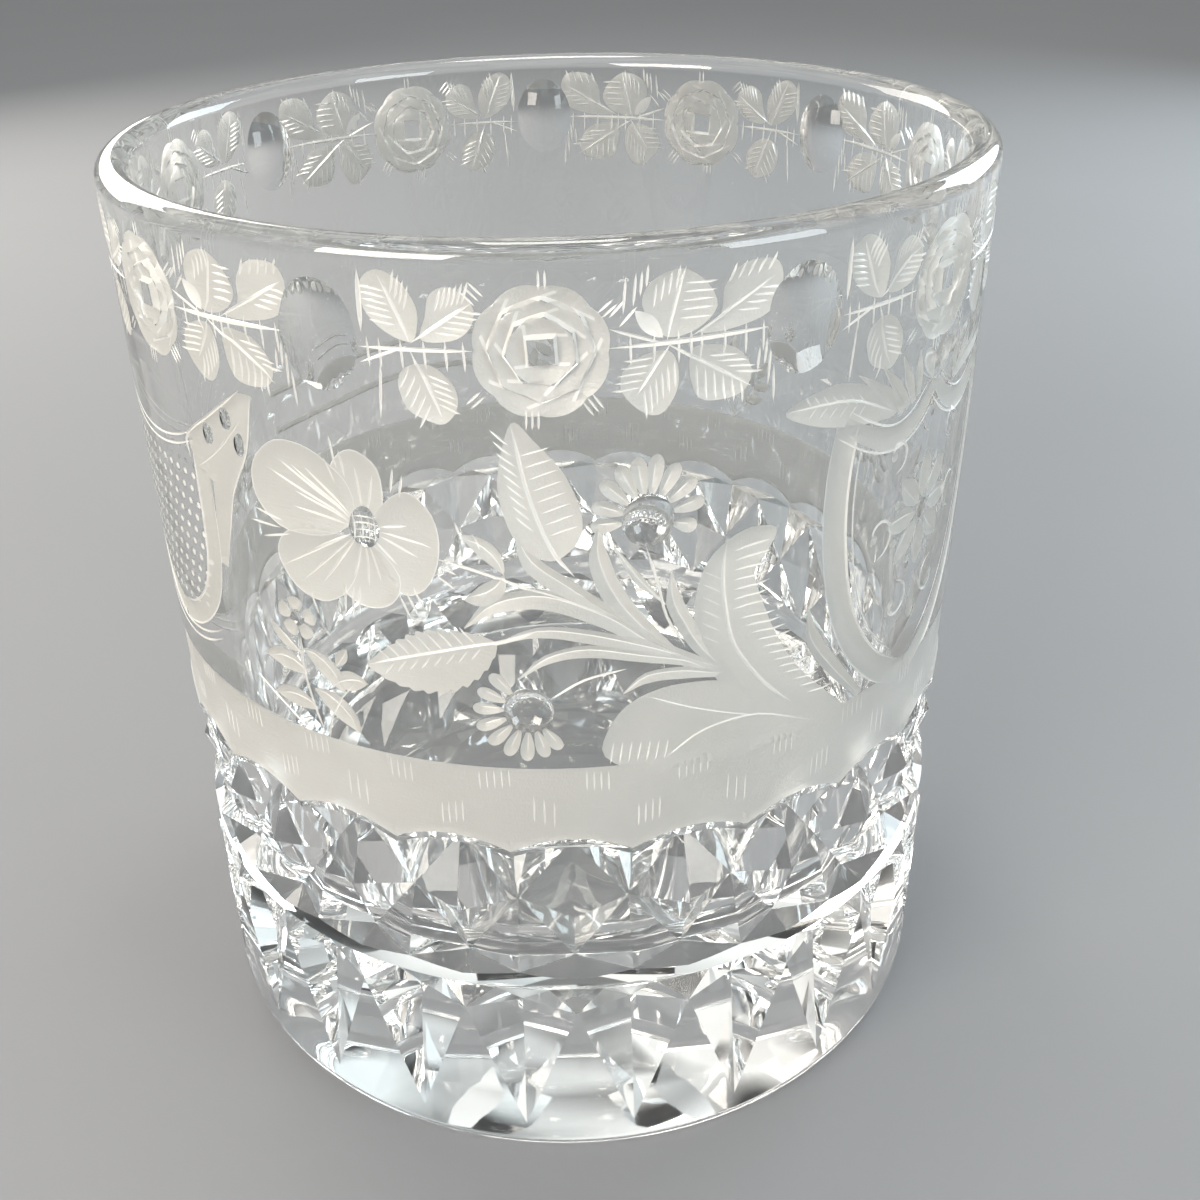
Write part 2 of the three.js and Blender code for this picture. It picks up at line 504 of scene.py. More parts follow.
def spray_right():
    """The stem at the right of a rose: two leaves over it, two under it, and loose strokes."""
    cuts = frieze_leaf(
        [
            (11.1, 85.9), (9.2, 87.2), (8.5, 88.8), (9.8, 90.2), (12.6, 90.7), (15.0, 89.6), (16.2, 87.8),
            (14.2, 86.3),
        ],
        ((11.0, 85.6), (12.9, 90.9)),
        ((12.4, 87.1), (12.9, 89.6), 5, (3.3, 0.05)), ((9.7, 88.0), (12.0, 89.2), 4, (0.3, 1.8)),
    )
    cuts += frieze_leaf(
        [
            (14.4, 86.0), (16.6, 87.2), (17.0, 89.2), (19.0, 90.6), (22.4, 90.6), (23.4, 89.0),
            (22.2, 86.9), (18.0, 86.0),
        ],
        ((13.6, 85.8), (22.8, 89.4)),
        ((17.4, 89.3), (21.8, 89.7), 5, (0.8, 1.4)), ((18.6, 87.2), (21.0, 88.6), 4, (2.6, -0.1)),
    )
    cuts += frieze_leaf(
        [
            (11.2, 84.9), (8.6, 84.7), (6.6, 83.6), (6.5, 82.0), (8.6, 80.4), (10.6, 80.2), (12.1, 81.8),
            (12.2, 83.6),
        ],
        ((11.4, 85.4), (8.0, 81.6)),
        ((9.8, 84.4), (8.5, 82.2), 5, (-3.2, -0.05)), ((11.8, 84.2), (8.8, 82.0), 6, (0.2, -2.2)),
    )
    cuts += frieze_leaf(
        [
            (13.6, 84.8), (13.5, 82.8), (14.6, 81.0), (17.2, 80.7), (19.6, 81.2), (20.2, 82.8),
            (18.4, 84.5), (15.6, 85.0),
        ],
        ((10.6, 85.6), (20.5, 81.3)),
        ((15.6, 84.1), (18.4, 82.6), 4, (3.2, -0.15)),
        ((14.2, 83.6), (19.2, 81.9), 6, (0.2, -2.6), 0.26, 0.35),
    )
    # A small leaf hollow, painted whiter as a highlight.
    cuts.append(hollow(leaf(at(7.8, 88.0), at(10.6, 85.9), 1.2), 0.25, 0.5, SMOOTH_PAINTED_BRIGHT))
    cuts += [mark((5.0, 85.4), (22.6, 85.7), 0.5), mark((5.2, 86.8), (11.0, 85.4), 0.32)]
    cuts += fence((7.3, 9.7, 12.2, 13.5, 14.6, 17.1, 19.4, 21.4), 86.3, 83.9)
    return cuts + marks([
        ((5.2, 87.6), (6.9, 88.9)), ((6.2, 86.9), (8.0, 88.3)), ((6.6, 87.8), (6.9, 90.5)),
        ((7.6, 88.3), (7.9, 90.7)), ((8.3, 89.0), (8.5, 90.8)), ((8.9, 89.6), (9.1, 91.2)),
        ((20.9, 82.4), (21.1, 84.3)), ((21.7, 82.8), (21.9, 84.9)), ((22.2, 81.2), (22.4, 84.4)),
        ((23.0, 79.8), (22.8, 82.8)),
    ])


def spray_left():
    """The stem at the left of a rose: two leaves over it and one under it."""
    cuts = frieze_leaf(
        [
            (-14.5, 85.9), (-17.2, 86.6), (-19.2, 88.2), (-19.2, 90.2),
            (-17.4, 91.0), (-15.2, 90.3), (-13.7, 88.6), (-13.7, 87.0),
        ],
        ((-14.6, 85.8), (-17.5, 90.6)),
        ((-16.1, 87.0), (-17.0, 89.4), 6, (-2.6, 0.4)), ((-15.1, 88.1), (-16.4, 89.2), 4, (0.8, 1.9)),
    )
    cuts += frieze_leaf(
        [
            (-13.4, 86.1), (-12.8, 87.8), (-12.2, 89.4), (-10.4, 90.0),
            (-8.9, 89.4), (-7.9, 88.4), (-8.4, 87.0), (-10.3, 86.1),
        ],
        ((-14.6, 85.8), (-8.0, 88.9)),
        ((-11.9, 88.1), (-9.1, 88.7), 6, (0.8, 1.7)), ((-12.0, 86.6), (-9.6, 88.2), 5, (2.8, -0.1)),
    )
    cuts += frieze_leaf(
        [
            (-13.9, 84.3), (-15.6, 83.8), (-16.2, 82.6), (-15.4, 80.8), (-13.4, 80.0),
            (-11.6, 79.8), (-10.2, 81.0), (-10.3, 82.6), (-12.0, 84.0),
        ],
        ((-14.7, 85.4), (-11.7, 79.9)),
        ((-14.9, 84.1), (-13.0, 81.2), 5, (-1.3, -1.9)), ((-13.2, 83.4), (-12.2, 81.2), 5, (2.4, -0.6)),
    )
    cuts += [mark((-20.2, 85.3), (-8.2, 85.4), 0.42), mark((-20.2, 84.1), (-14.9, 85.6), 0.3)]
    cuts += fence((-19.2, -17.9, -15.6, -13.2, -11.0, -9.2), 86.1, 83.8)
    return cuts + [mark((-19.7, 86.4), (-19.5, 91.0), 0.5), mark((-17.9, 84.3), (-18.5, 79.8), 0.28)]


def frieze():
    """Seven roses with a spray at each side, and a polished oval between two sprays."""
    period = spray_left() + spray_right() + rose() + [lens(at(26.5, 85.8), 3.3, 4.25, 0.8)]
    return sum((moved(period, i * FRIEZE_PITCH) for i in range(OVAL_COUNT)), [])


# The bouquet on the front -----------------------------------------------------------------------


def pansy():
    """The big flower: five petals with fine rims, rays from its heart, and strokes round it."""
    heart = at(-22, 70.4)
    cuts = []
    for outline in [
        [(-25.4, 72.4), (-25.2, 75.4), (-22.6, 77.0), (-19.6, 75.6), (-19.6, 72.0), (-22, 70.2)],
        [
            (-19.8, 72.4), (-16.6, 74.0), (-13.9, 72.2), (-13.4, 69.0), (-15.2, 65.8), (-18.6, 65.2),
            (-21.6, 69.6),
        ],
        [(-22.2, 69.6), (-18.4, 66.4), (-19.4, 64.0), (-22.6, 63.3), (-25.6, 64.6), (-25.4, 67.6)],
        [
            (-23.2, 69.4), (-27.6, 69.4), (-32.4, 68.7), (-34.3, 66.4),
            (-32.4, 63.8), (-28.6, 62.9), (-25.0, 64.4), (-23.2, 67.4),
        ],
        [
            (-23.2, 71.0), (-24.2, 74.4), (-27.6, 76.4), (-32.4, 76.6),
            (-36.2, 74.2), (-36.6, 71.2), (-33.4, 69.0), (-27.6, 69.0),
        ],
    ]:
        ring = spline(places(*outline))
        cuts.append(hollow(ring, 0.42, 2.0))
        cuts.append(stroke(np.vstack([ring, ring[:1]])[::2], 0.1, 2, 0.5))
    for end in [
        (-35.0, 73.9), (-33.3, 75.0), (-31.2, 74.6), (-29.2, 74.6), (-31.0, 72.3), (-31.6, 70.9),
        (-34.0, 65.2), (-31.4, 64.2), (-28.6, 64.4), (-29.4, 67.4), (-27.0, 66.0),
        (-17.0, 70.9), (-14.2, 69.3), (-16.0, 68.2), (-18.6, 67.4), (-20.4, 75.0), (-22.6, 75.4),
        (-22.4, 65.0), (-20.8, 65.6), (-24.2, 65.6),
    ]:
        away = at(*end) - heart
        cuts.append(line(heart + away / np.linalg.norm(away) * 1.3, at(*end), 0.3))
    cuts.append(lens(heart, 1.25, 1.75, 0.45))
    for i in range(4):
        cuts.append(line(heart + (-0.9 + 0.6 * i, -1.3), heart + (-0.9 + 0.6 * i, 1.3), 0.16))
        cuts.append(line(heart + (-1.1, -0.9 + 0.6 * i), heart + (1.1, -0.9 + 0.6 * i), 0.16))
    return cuts + marks([
        ((-37.2, 70.0), (-33.0, 69.4)), ((-38.2, 68.7), (-33.4, 68.8)), ((-36.4, 67.5), (-32.2, 68.4)),
        ((-25.9, 75.9), (-25.2, 73.8)), ((-25.0, 77.9), (-24.6, 75.2)), ((-24.0, 76.9), (-23.9, 74.4)),
        ((-17.8, 75.9), (-18.3, 73.8)), ((-16.8, 75.4), (-17.4, 73.4)), ((-25.2, 65.0), (-25.6, 62.2)),
        ((-24.3, 64.8), (-24.5, 61.9)), ((-23.6, 64.9), (-23.7, 62.4)), ((-30.2, 63.4), (-29.4, 61.4)),
        ((-17.6, 65.2), (-16.4, 63.2)), ((-16.8, 65.7), (-15.6, 63.9)), ((-18.4, 64.8), (-17.4, 62.9)),
        ((-13.8, 67.0), (-11.9, 65.9)), ((-13.4, 67.9), (-11.6, 67.2)),
    ])


def upright_leaf():
    """The leaf in the middle of the bouquet, hatched at both sides of its rib."""
    outline = places(
        (-4.8, 80.0), (-6.4, 76.2), (-6.3, 73.2), (-4.6, 70.0), (-1.2, 68.6), (1.7, 70.2), (2.1, 72.6),
        (0.4, 75.9), (-2.6, 78.6),
    )
    cuts = [hollow(spline(outline, 5), 0.35, 1.6)]
    cuts += hatch((-5.2, 78.2), (-3.0, 71.0), 9, (-1.9, 1.3), 0.24)
    cuts += hatch((-4.2, 77.2), (-1.4, 70.6), 8, (3.2, 0.9), 0.2)
    return cuts + [curve((-4.9, 79.9), (-3.6, 74.6), (-1.4, 69.8), (1.2, 67.2), width=0.4)]


def sword_leaves():
    """Long blades that spread from the foot of the bouquet, each with its widths along the way."""
    cuts = []
    for path, widths in [
        ([(-5.0, 71.2), (-3.4, 68.4), (0.2, 66.2), (4.6, 63.8), (9.0, 61.4)], (0.1, 1.5, 1.7, 1.3, 0.5)),
        ([(3.9, 71.7), (3.9, 68.4), (5.8, 64.8), (9.4, 61.4), (14.6, 57.6)], (0.1, 1.7, 1.9, 1.5, 0.6)),
        ([(5.5, 69.6), (8.1, 66.6), (11.2, 64.0)], (0.1, 0.8, 0.1)),
        ([(11.8, 67.0), (12.2, 64.2), (13.5, 62.0), (15.3, 59.6), (18.2, 57.0)], (0.1, 1.4, 1.5, 1.3, 0.5)),
        (
            [(-11.2, 62.4), (-7.6, 64.6), (-2.0, 65.2), (4.6, 63.2), (9.4, 60.6), (14.4, 58.4), (18.0, 57.0)],
            (0.1, 1.5, 1.9, 1.7, 1.3, 1.1, 0.6),
        ),
        ([(-8.2, 60.9), (-3.0, 62.2), (3.0, 61.6), (10.0, 59.9), (16.0, 57.8)], (0.1, 1.0, 1.3, 1.1, 0.5)),
        (
            [(-5.4, 57.8), (-2.0, 59.7), (2.6, 60.3), (8.4, 59.4), (13.4, 58.4), (16.4, 57.2)],
            (0.1, 0.9, 1.2, 1.0, 0.8, 0.4),
        ),
        ([(6.4, 56.0), (9.2, 57.3), (13.4, 57.3), (18.4, 56.4)], (0.1, 1.1, 1.2, 0.5)),
        ([(29.5, 60.6), (30.8, 57.0), (34.6, 53.2), (39.6, 49.0)], (0.1, 1.5, 1.5, 0.8)),
    ]:
        cuts.append(blade(places(*path), widths))
        cuts.append(stroke(places(*path), 0.16, slope=0.5))
    return cuts


def pointed_leaf():
    """The saw-edged leaf that points to the left."""
    outline = leaf(at(-7.6, 61.2), at(-23.6, 57.6), 6.2, bend=0.05, belly=0.9, teeth=11, bite=0.11)
    cuts = [hollow(outline, 0.36, 1.8)]
    cuts += hatch((-20.6, 58.2), (-10.2, 60.8), 9, (-1.6, 1.7), 0.24)
    cuts += hatch((-20.2, 58.1), (-9.6, 60.4), 8, (-1.2, -1.2), 0.2)
    return cuts + [curve((-23.6, 57.6), (-15.4, 59.6), (-7.6, 61.2), (-3.0, 62.2), width=0.42)]


def bud():
    """Two narrow leaves that open to the left, on a long stem."""
    joint = at(-6.4, 67.4)
    leaves = ((at(-11.0, 70.7), 1.5, -0.12, 0.6), (at(-11.0, 65.0), 1.9, 0.16, 0.7))
    cuts = [hollow(leaf(joint, tip, width, bend), 0.3, reach) for tip, width, bend, reach in leaves]
    cuts += [line(joint, joint + (tip - joint) * 0.9, 0.18, bend) for tip, width, bend, reach in leaves]
    cuts += hatch((-11.4, 71.8), (-9.6, 70.9), 2, (0.7, -1.5), 0.22)
    return cuts + [curve((-13.7, 68.5), (-10.0, 67.8), (-6.4, 66.9), (-1.0, 65.3), (4.6, 63.4), width=0.34)]


def daisy(centre, petal_width, *tips):
    """Petals round a polished hollow, each as long as its tip is far."""
    radius = 2.05
    cuts = []
    for tip in tips:
        away = at(*tip) - centre
        way = away / np.linalg.norm(away)
        cuts.append(hollow(petal(centre + way * (radius - 0.1), at(*tip), petal_width), 0.3, 0.5))
        cuts.append(line(centre + way * (radius + 0.3), centre + away * 0.86, 0.18))
    return cuts + [bullseye(centre, radius, radius * 1.12)]


def daisies():
    cuts = daisy(
        at(9.2, 71.6), 1.5, (3.0, 71.4), (3.2, 73.2), (4.2, 75.1), (6.0, 76.3), (8.0, 76.9), (10.2, 77.0),
        (12.4, 76.1), (14.4, 74.7), (15.4, 72.8), (14.6, 70.6),
    )
    cuts += daisy(
        at(-4.4, 54.7), 1.4, (-8.6, 58.2), (-10.2, 56.6), (-10.9, 54.8), (-10.6, 52.8), (-9.2, 51.2),
        (-7.2, 50.1), (-4.9, 49.6), (-2.6, 50.0), (-0.9, 50.8),
    )
    cuts.append(curve((9.0, 69.3), (10.3, 66.0), (11.4, 62.8), (13.6, 59.8), width=0.28))
    return cuts + [curve((-2.0, 55.8), (2.0, 57.6), (6.8, 58.4), width=0.28)]


def frond():
    """The feathered leaf and the broad one below it, which run into the matt band."""
    feather = places(
        (24.4, 69.0), (21.2, 69.6), (18.4, 68.9), (16.1, 67.4), (14.8, 64.8), (14.6, 61.5), (15.6, 58.6),
        (18.4, 55.0), (24.0, 49.0), (26.0, 47.6), (37.0, 47.6), (34.2, 50.6), (30.2, 53.6), (27.4, 56.2),
        (25.0, 59.2), (23.2, 62.2), (21.8, 65.4), (23.2, 67.0),
    )
    broad = places(
        (4.2, 49.8), (4.5, 52.3), (6.8, 54.8), (10.7, 56.1), (15.0, 56.2), (18.9, 55.6), (23.0, 53.6),
        (28.0, 50.6), (29.0, 47.8), (16.0, 47.6), (9.0, 47.8),
    )
    cuts = [hollow(spline(feather, 3), 0.34, 1.6), hollow(spline(broad, 3), 0.4, 1.6)]
    cuts += hatch((19.4, 67.6), (19.4, 62.2), 7, (4.4, 0.5))
    cuts += hatch((20.4, 61.2), (26.0, 55.4), 8, (4.4, 0.2))
    cuts += hatch((27.0, 54.6), (30.6, 51.6), 4, (3.6, 0.1), 0.24)
    cuts += hatch((15.6, 66.4), (15.6, 60.4), 6, (2.4, -1.2), 0.16)
    cuts += hatch((4.8, 49.0), (11.4, 48.6), 7, (0.5, 2.0), 0.22)
    rib = (18.3, 69.0), (18.1, 65.6), (18.6, 62.4), (20.0, 58.6), (24.2, 54.2), (28.4, 51.2)
    cuts.append(curve(*rib, width=0.4))
    cuts.append(curve((9.0, 55.4), (13.6, 53.8), (19.0, 52.2), (25.0, 50.6), width=0.2))
    cuts.append(blade(places((11.6, 48.4), (16.6, 50.2), (23.4, 50.4), (31.4, 48.2)), (0.1, 1.1, 1.2, 0.2)))
    return cuts + [curve((11.4, 48.6), (16.4, 50.9), (23.6, 51.1), (31.8, 48.4), width=0.26)]


def small_flowers():
    """A little round blossom with its leaves, low at the left of the bouquet."""
    heart = at(-33.0, 60.4)
    cuts = []
    for i in range(5):
        way, _ = way_of(math.radians(72 * i + 18))
        cuts.append(hollow(petal(heart + way * 0.5, heart + way * 2.1, 1.9, 14), 0.3, 0.7))
    cuts.append(lens(heart, 0.75, 0.75, 0.3))
    for base, tip, width, bend in [
        ((-32.6, 57.4), (-27.2, 54.0), 2.1, 0.12), ((-31.8, 53.6), (-25.6, 50.2), 2.3, 0.1),
        ((-33.2, 57.0), (-37.4, 59.2), 1.2, 0.1), ((-32.6, 54.8), (-39.2, 55.4), 2.2, -0.14),
        ((-31.6, 51.4), (-38.6, 51.6), 2.0, -0.1), ((-28.6, 54.6), (-23.8, 55.6), 2.0, 0.1),
        ((-28.0, 56.6), (-26.2, 58.6), 1.1, 0.0),
    ]:
        base, tip = at(*base), at(*tip)
        cuts.append(hollow(leaf(base, tip, width, bend), 0.3, 0.8))
        cuts.append(line(base, base + (tip - base) * 0.9, 0.18, bend))
    cuts.append(curve((-32.8, 58.6), (-33.0, 55.4), (-32.2, 52.0), (-30.8, 48.6)))
    cuts.append(curve((-26.0, 55.0), (-28.2, 53.0), (-29.8, 50.6), (-30.4, 48.6), width=0.22))
    return cuts + [curve((-41.6, 52.6), (-37.2, 50.6), (-33.6, 48.8), width=0.28)]


def bouquet():
    cuts = frond() + small_flowers() + sword_leaves() + pointed_leaf()
    return cuts + upright_leaf() + bud() + daisies() + pansy()


# The two cartouches at the sides, and the back --------------------------------------------------
# Both cartouches are drawn round the front's middle and then moved to their sides.


def outlined(path, gaps, width=0.26):
    """Bright strokes beside a path, one at each gap."""
    return [stroke(offset(path, gap)[::3], width) for gap in gaps]


def shield_frame():
    """A broad matt border with bright double lines, and a scalloped top."""
    border = spline(places(
        (-16.4, 76.0), (-17.3, 71.6), (-17.2, 66.3), (-15.7, 60.4), (-12.8, 55.4), (-8.4, 51.5), (-3.6, 49.0),
        (0.0, 48.0),
    ), closed=False)
    cuts = [hollow(ribbon(side, 2.7), 0.42, 1.3) for side in (border, mirrored(border))]
    for gap, first, last, width in ((-1.25, 0, -2, 0.26), (1.25, 0, -2, 0.26), (2.0, 1, -4, 0.24)):
        inset = offset(border, gap)[first:last]
        cuts += [stroke(inset[::3], width), stroke(mirrored(inset)[::3], width)]
    arch = spline(places((-17.0, 76.2), (-12.5, 74.3), (-8.3, 73.4), (-4.0, 74.2), (0.0, 76.6)), closed=False)
    widths = np.interp(np.linspace(0, 1, len(arch)), [0, 0.5, 1], [1.2, 2.2, 1.2])
    for side in (arch, mirrored(arch)):
        cuts.append(hollow(ribbon(side, widths), 0.36))
        cuts += outlined(side, (-1.15, 1.15))
    return cuts


def rosette(centre, size):
    """A plain rosette of eight petals with dots between their tips, in place of any lettering."""
    cuts = []
    for i in range(8):
        way, _ = way_of(math.radians(45 * i))
        between, _ = way_of(math.radians(45 * i + 22.5))
        cuts.append(hollow(leaf(centre + way * 1.0, centre + way * size, 2.3), 0.32, 0.9))
        cuts.append(line(centre + way * 1.2, centre + way * size * 0.9, 0.22))
        cuts.append(hollow(ellipse(centre + between * size * 0.84, 0.42, 0.42, steps=12), 0.2, 0.4))
    return cuts + [lens(centre, 0.95, 0.95, 0.3)]


def scroll(centre, size, turn, hand):
    """A spiral curl that ends in a small ball."""
    t = np.linspace(0, 1, 12)
    angle = turn + hand * t * 1.6 * math.pi
    radius = size * (1 - 0.78 * t)
    path = np.column_stack([centre[0] + radius * np.cos(angle), centre[1] + radius * np.sin(angle)])
    return [stroke(path, 0.36, 3), hollow(ellipse(path[-1], 0.45, 0.45, steps=12), 0.2, 0.4)]


def shield_ornament():
    """The rosette among scrolls that fills the shield."""
    cuts = rosette(at(0, 64.8), 5.6)
    for hand in (-1, 1):
        cuts += scroll(at(hand * 4.6, 56.6), 2.3, math.pi / 2, hand)
        cuts += scroll(at(hand * 9.6, 64.6), 2.4, -math.pi / 2, -hand)
        cuts += scroll(at(hand * 7.2, 71.6), 1.8, -math.pi / 2, -hand)
    return cuts + [hollow(petal(at(0, 58.4), at(0, 53.6), 1.6), 0.3, 0.6)]


def plume():
    """Leaves that stand over the shield."""
    broad = places((-8.4, 75.6), (-13.0, 78.6), (-19.0, 79.9), (-25.4, 78.6), (-21.0, 76.8), (-14.6, 75.8))
    cuts = [hollow(spline(broad, 5), 0.34, 1.2), curve((-8.8, 75.8), (-16.0, 78.0), (-24.8, 78.5))]
    cuts += hatch((-13.4, 77.2), (-21.6, 78.4), 7, (-1.3, 1.1), 0.16)
    cuts += hatch((-13.4, 77.2), (-20.8, 78.3), 6, (-1.3, -0.8), 0.16)
    for path, widths in [
        ([(-7.0, 75.4), (-10.6, 77.6), (-15.6, 80.1)], (0.8, 1.3, 0.1)),
        ([(-6.0, 75.6), (-8.6, 77.8), (-11.8, 80.2)], (0.7, 1.2, 0.1)),
        ([(-5.0, 75.8), (-6.4, 78.0), (-8.0, 80.3)], (0.6, 1.2, 0.1)),
        ([(-4.0, 76.2), (-4.4, 78.4), (-4.6, 80.2)], (0.6, 1.1, 0.1)),
    ]:
        cuts.append(blade(places(*path), widths))
    for hand in (-1, 1):
        cuts.append(hollow(petal(at(hand * 0.8, 77.0), at(hand * 3.0, 79.9), 1.8), 0.3, 0.8))
        cuts += scroll(at(hand * 1.5, 78.8), 1.0, -math.pi / 2, hand)
    foot = 75.8
    for angle, height in ((6.6, 80.0), (9.6, 79.9), (13.0, 79.4), (17.0, 78.8)):
        path = places((5.6, foot), (angle - 1.4, (foot + height) / 2), (angle, height))
        cuts.append(blade(path, (0.7, 1.3, 0.1)))
    return cuts


def shield():
    """The cartouche at the front right, with its ornament in a clear field."""
    return moved(plume() + shield_frame() + shield_ornament(), SHIELD_ANGLE)


def drape():
    """A folded ribbon that hangs over the left cartouche's corner."""
    outline = places(
        (-48.6, 74.1), (-43.0, 76.8), (-37.2, 79.8), (-35.0, 79.8), (-37.1, 74.6), (-40.7, 70.2),
        (-44.3, 62.6), (-45.8, 62.8), (-44.4, 70.8), (-47.6, 71.3),
    )
    cuts = [hollow(outline, 0.34)]
    cuts.append(curve((-48.8, 72.0), (-48.6, 74.1), (-43.0, 76.9), (-36.8, 80.0), width=0.34))
    cuts.append(curve((-47.6, 71.4), (-42.6, 74.0), (-38.0, 77.2), width=0.28))
    cuts.append(curve((-35.4, 79.6), (-37.3, 74.6), (-40.9, 70.2), (-44.6, 62.6)))
    slots = places((-40.4, 77.0), (-44.3, 75.0), (-38.6, 75.0))
    return cuts + [lens(slot, 0.5, 1.0, 0.2) for slot in slots]


def stipple():
    """A field of punched dots that narrows towards its foot."""
    dots = []
    for row in range(11):
        height = 56.2 + 1.4 * row
        reach = 12.4 - 0.2 * max(0, 62 - height) ** 1.6
        for column in range(-6, 7):
            angle = 2.0 * column + row % 2
            if abs(angle) < reach:
                # Each punched dot is a real hollow, painted whiter as a highlight.
                dots.append(hollow(ellipse(at(angle, height), 0.3, 0.3, steps=8), 0.2, 0.3, SMOOTH_PAINTED_BRIGHT))
    return dots


def stippled_shield():
    """The cartouche at the left: a dotted field in a border with a swag at its foot, and a ribbon."""
    border = spline(places(
        (14.6, 74.0), (14.2, 68.0), (13.6, 63.0), (11.6, 58.8), (7.8, 55.8), (3.6, 54.2), (0.0, 53.6),
    ), closed=False)
    cuts = []
    for side in (border, mirrored(border)):
        cuts.append(hollow(ribbon(side, 2.3), 0.38, 1.1))
        cuts += outlined(side, (-1.1, 1.1))
    swag = places(*[(a, 52.4 + 0.017 * a * a) for a in range(-12, 13, 3)])
    cuts += [stroke(swag - (0, drop)) for drop in (0.0, 0.9)]
    top = places(*[(a, 71.6 + 0.012 * a * a) for a in range(-14, 15, 4)])
    cuts += [stroke(top + (0, rise), 0.26) for rise in (0.0, 0.8)]
    return moved(cuts + stipple(), CARTOUCHE_ANGLE) + drape()


def sprig(angle, height, lean=0.0):
    """Three little stems with pairs of leaves, standing on the matt band."""
    cuts = []
    for (out, up), size in [((-5.5, 6.6), 0.9), ((0.4, 8.6), 1.0), ((6.0, 6.4), 0.9)]:
        foot, end = at(angle, height), at(angle + out + lean, height + up)
        cuts.append(line(foot, end, 0.34, 0.06))
        away = end - foot
        side = np.array((-away[1], away[0])) / np.linalg.norm(away)
        for share in (0.42, 0.72):
            for hand in (-1, 1):
                start = foot + away * share
                tip = start + away * 0.28 + hand * side * 2.3 * size
                cuts.append(hollow(leaf(start, tip, 1.5 * size), 0.28, 0.6))
        cuts.append(hollow(leaf(end - away * 0.08, end + away * 0.3, 1.5 * size), 0.28, 0.6))
    return cuts


def banner(first, last, low, high):
    """A plain ribbon band, drawn as two narrow matt stripes."""
    angles = np.linspace(first, last, 15)
    wave = 0.5 * np.sin(np.linspace(0, 2 * math.pi, 15))
    paths = [np.column_stack([angles * ARC, level + wave]) for level in (low, high)]
    return [hollow(ribbon(path, 0.8), 0.26, 0.4) for path in paths]


def back():
    """The back is plain but for a ribbon and a few sprigs."""
    cuts = banner(-167, -116, 54.6, 59.2)
    for angle, lean in ((143, 0.0), (104, -1.5), (-100, 1.5), (180, 0.5)):
        cuts += sprig(angle, BAND_TOP - 0.3, lean)
    return cuts


# The bands of the lower part --------------------------------------------------------------------


def lens_depth(angle):
    """Depth of the wheel's edge in the scallop, at an angle from the scallop's middle."""
    a = np.radians((np.asarray(angle, float) + FACET_PITCH) % (2 * FACET_PITCH) - FACET_PITCH)
    centre = WALL_RADIUS - LENS_DEPTH + LENS_WHEEL_RADIUS
    reach = centre * np.cos(a) - np.sqrt(LENS_WHEEL_RADIUS**2 - (centre * np.sin(a)) ** 2)
    return np.maximum(0, WALL_RADIUS - reach)


def scallop_edge(angle):
    """Height of the scallops' upper edge at an angle round the glass."""
    return LENS_MIDDLE + LENS_SLOPE * lens_depth(angle)


def band_piece():
    """The matt belt over one diamond, as deep as the next pieces of it."""
    arc = np.linspace(-FACET_PITCH, FACET_PITCH, ARC_STEPS)
    low = np.column_stack([arc * ARC, scallop_edge(arc)])
    high = np.column_stack([arc[::-1] * ARC, np.full(ARC_STEPS, BAND_TOP)])

    def depth(points, gap):
        edge = np.minimum(BAND_TOP - points[:, 1], points[:, 1] - scallop_edge(points[:, 0] / ARC))
        return BAND_DEPTH * np.sin(np.clip(edge / 0.5, 0, 1) * math.pi / 2)

    return Band(np.vstack([low, high]), depth)


def band_strokes():
    """The short strokes on the matt belt: a few groups that repeat round the glass."""
    groups = hatch((2.0, 48.4), (4.6, 48.2), 4, (0.05, -2.2), 0.2)
    groups += hatch((8.2, 41.9), (10.8, 42.4), 4, (0.05, 2.5), 0.2)
    groups += hatch((13.2, 48.2), (16.8, 48.6), 5, (0.05, -2.0), 0.18)
    groups += hatch((19.6, 42.8), (22.0, 42.2), 3, (0.05, 3.0), 0.2)
    repeats = 15
    return sum((moved(groups, 360 / repeats * i) for i in range(repeats)), [])


def scallop():
    """The lens cut over one diamond, where a wheel's edge ran out into the wall."""
    arc = np.linspace(-FACET_PITCH, FACET_PITCH, ARC_STEPS)
    middle = np.column_stack([arc * ARC, np.full(ARC_STEPS, LENS_MIDDLE)])
    high = np.column_stack([arc * ARC, scallop_edge(arc)])[-2:0:-1]

    def depth(points, gap):
        edge = lens_depth(points[:, 0] / ARC)
        return np.maximum(0, edge - (points[:, 1] - LENS_MIDDLE) / LENS_SLOPE)

    return Scallop(np.vstack([middle, high]), depth)


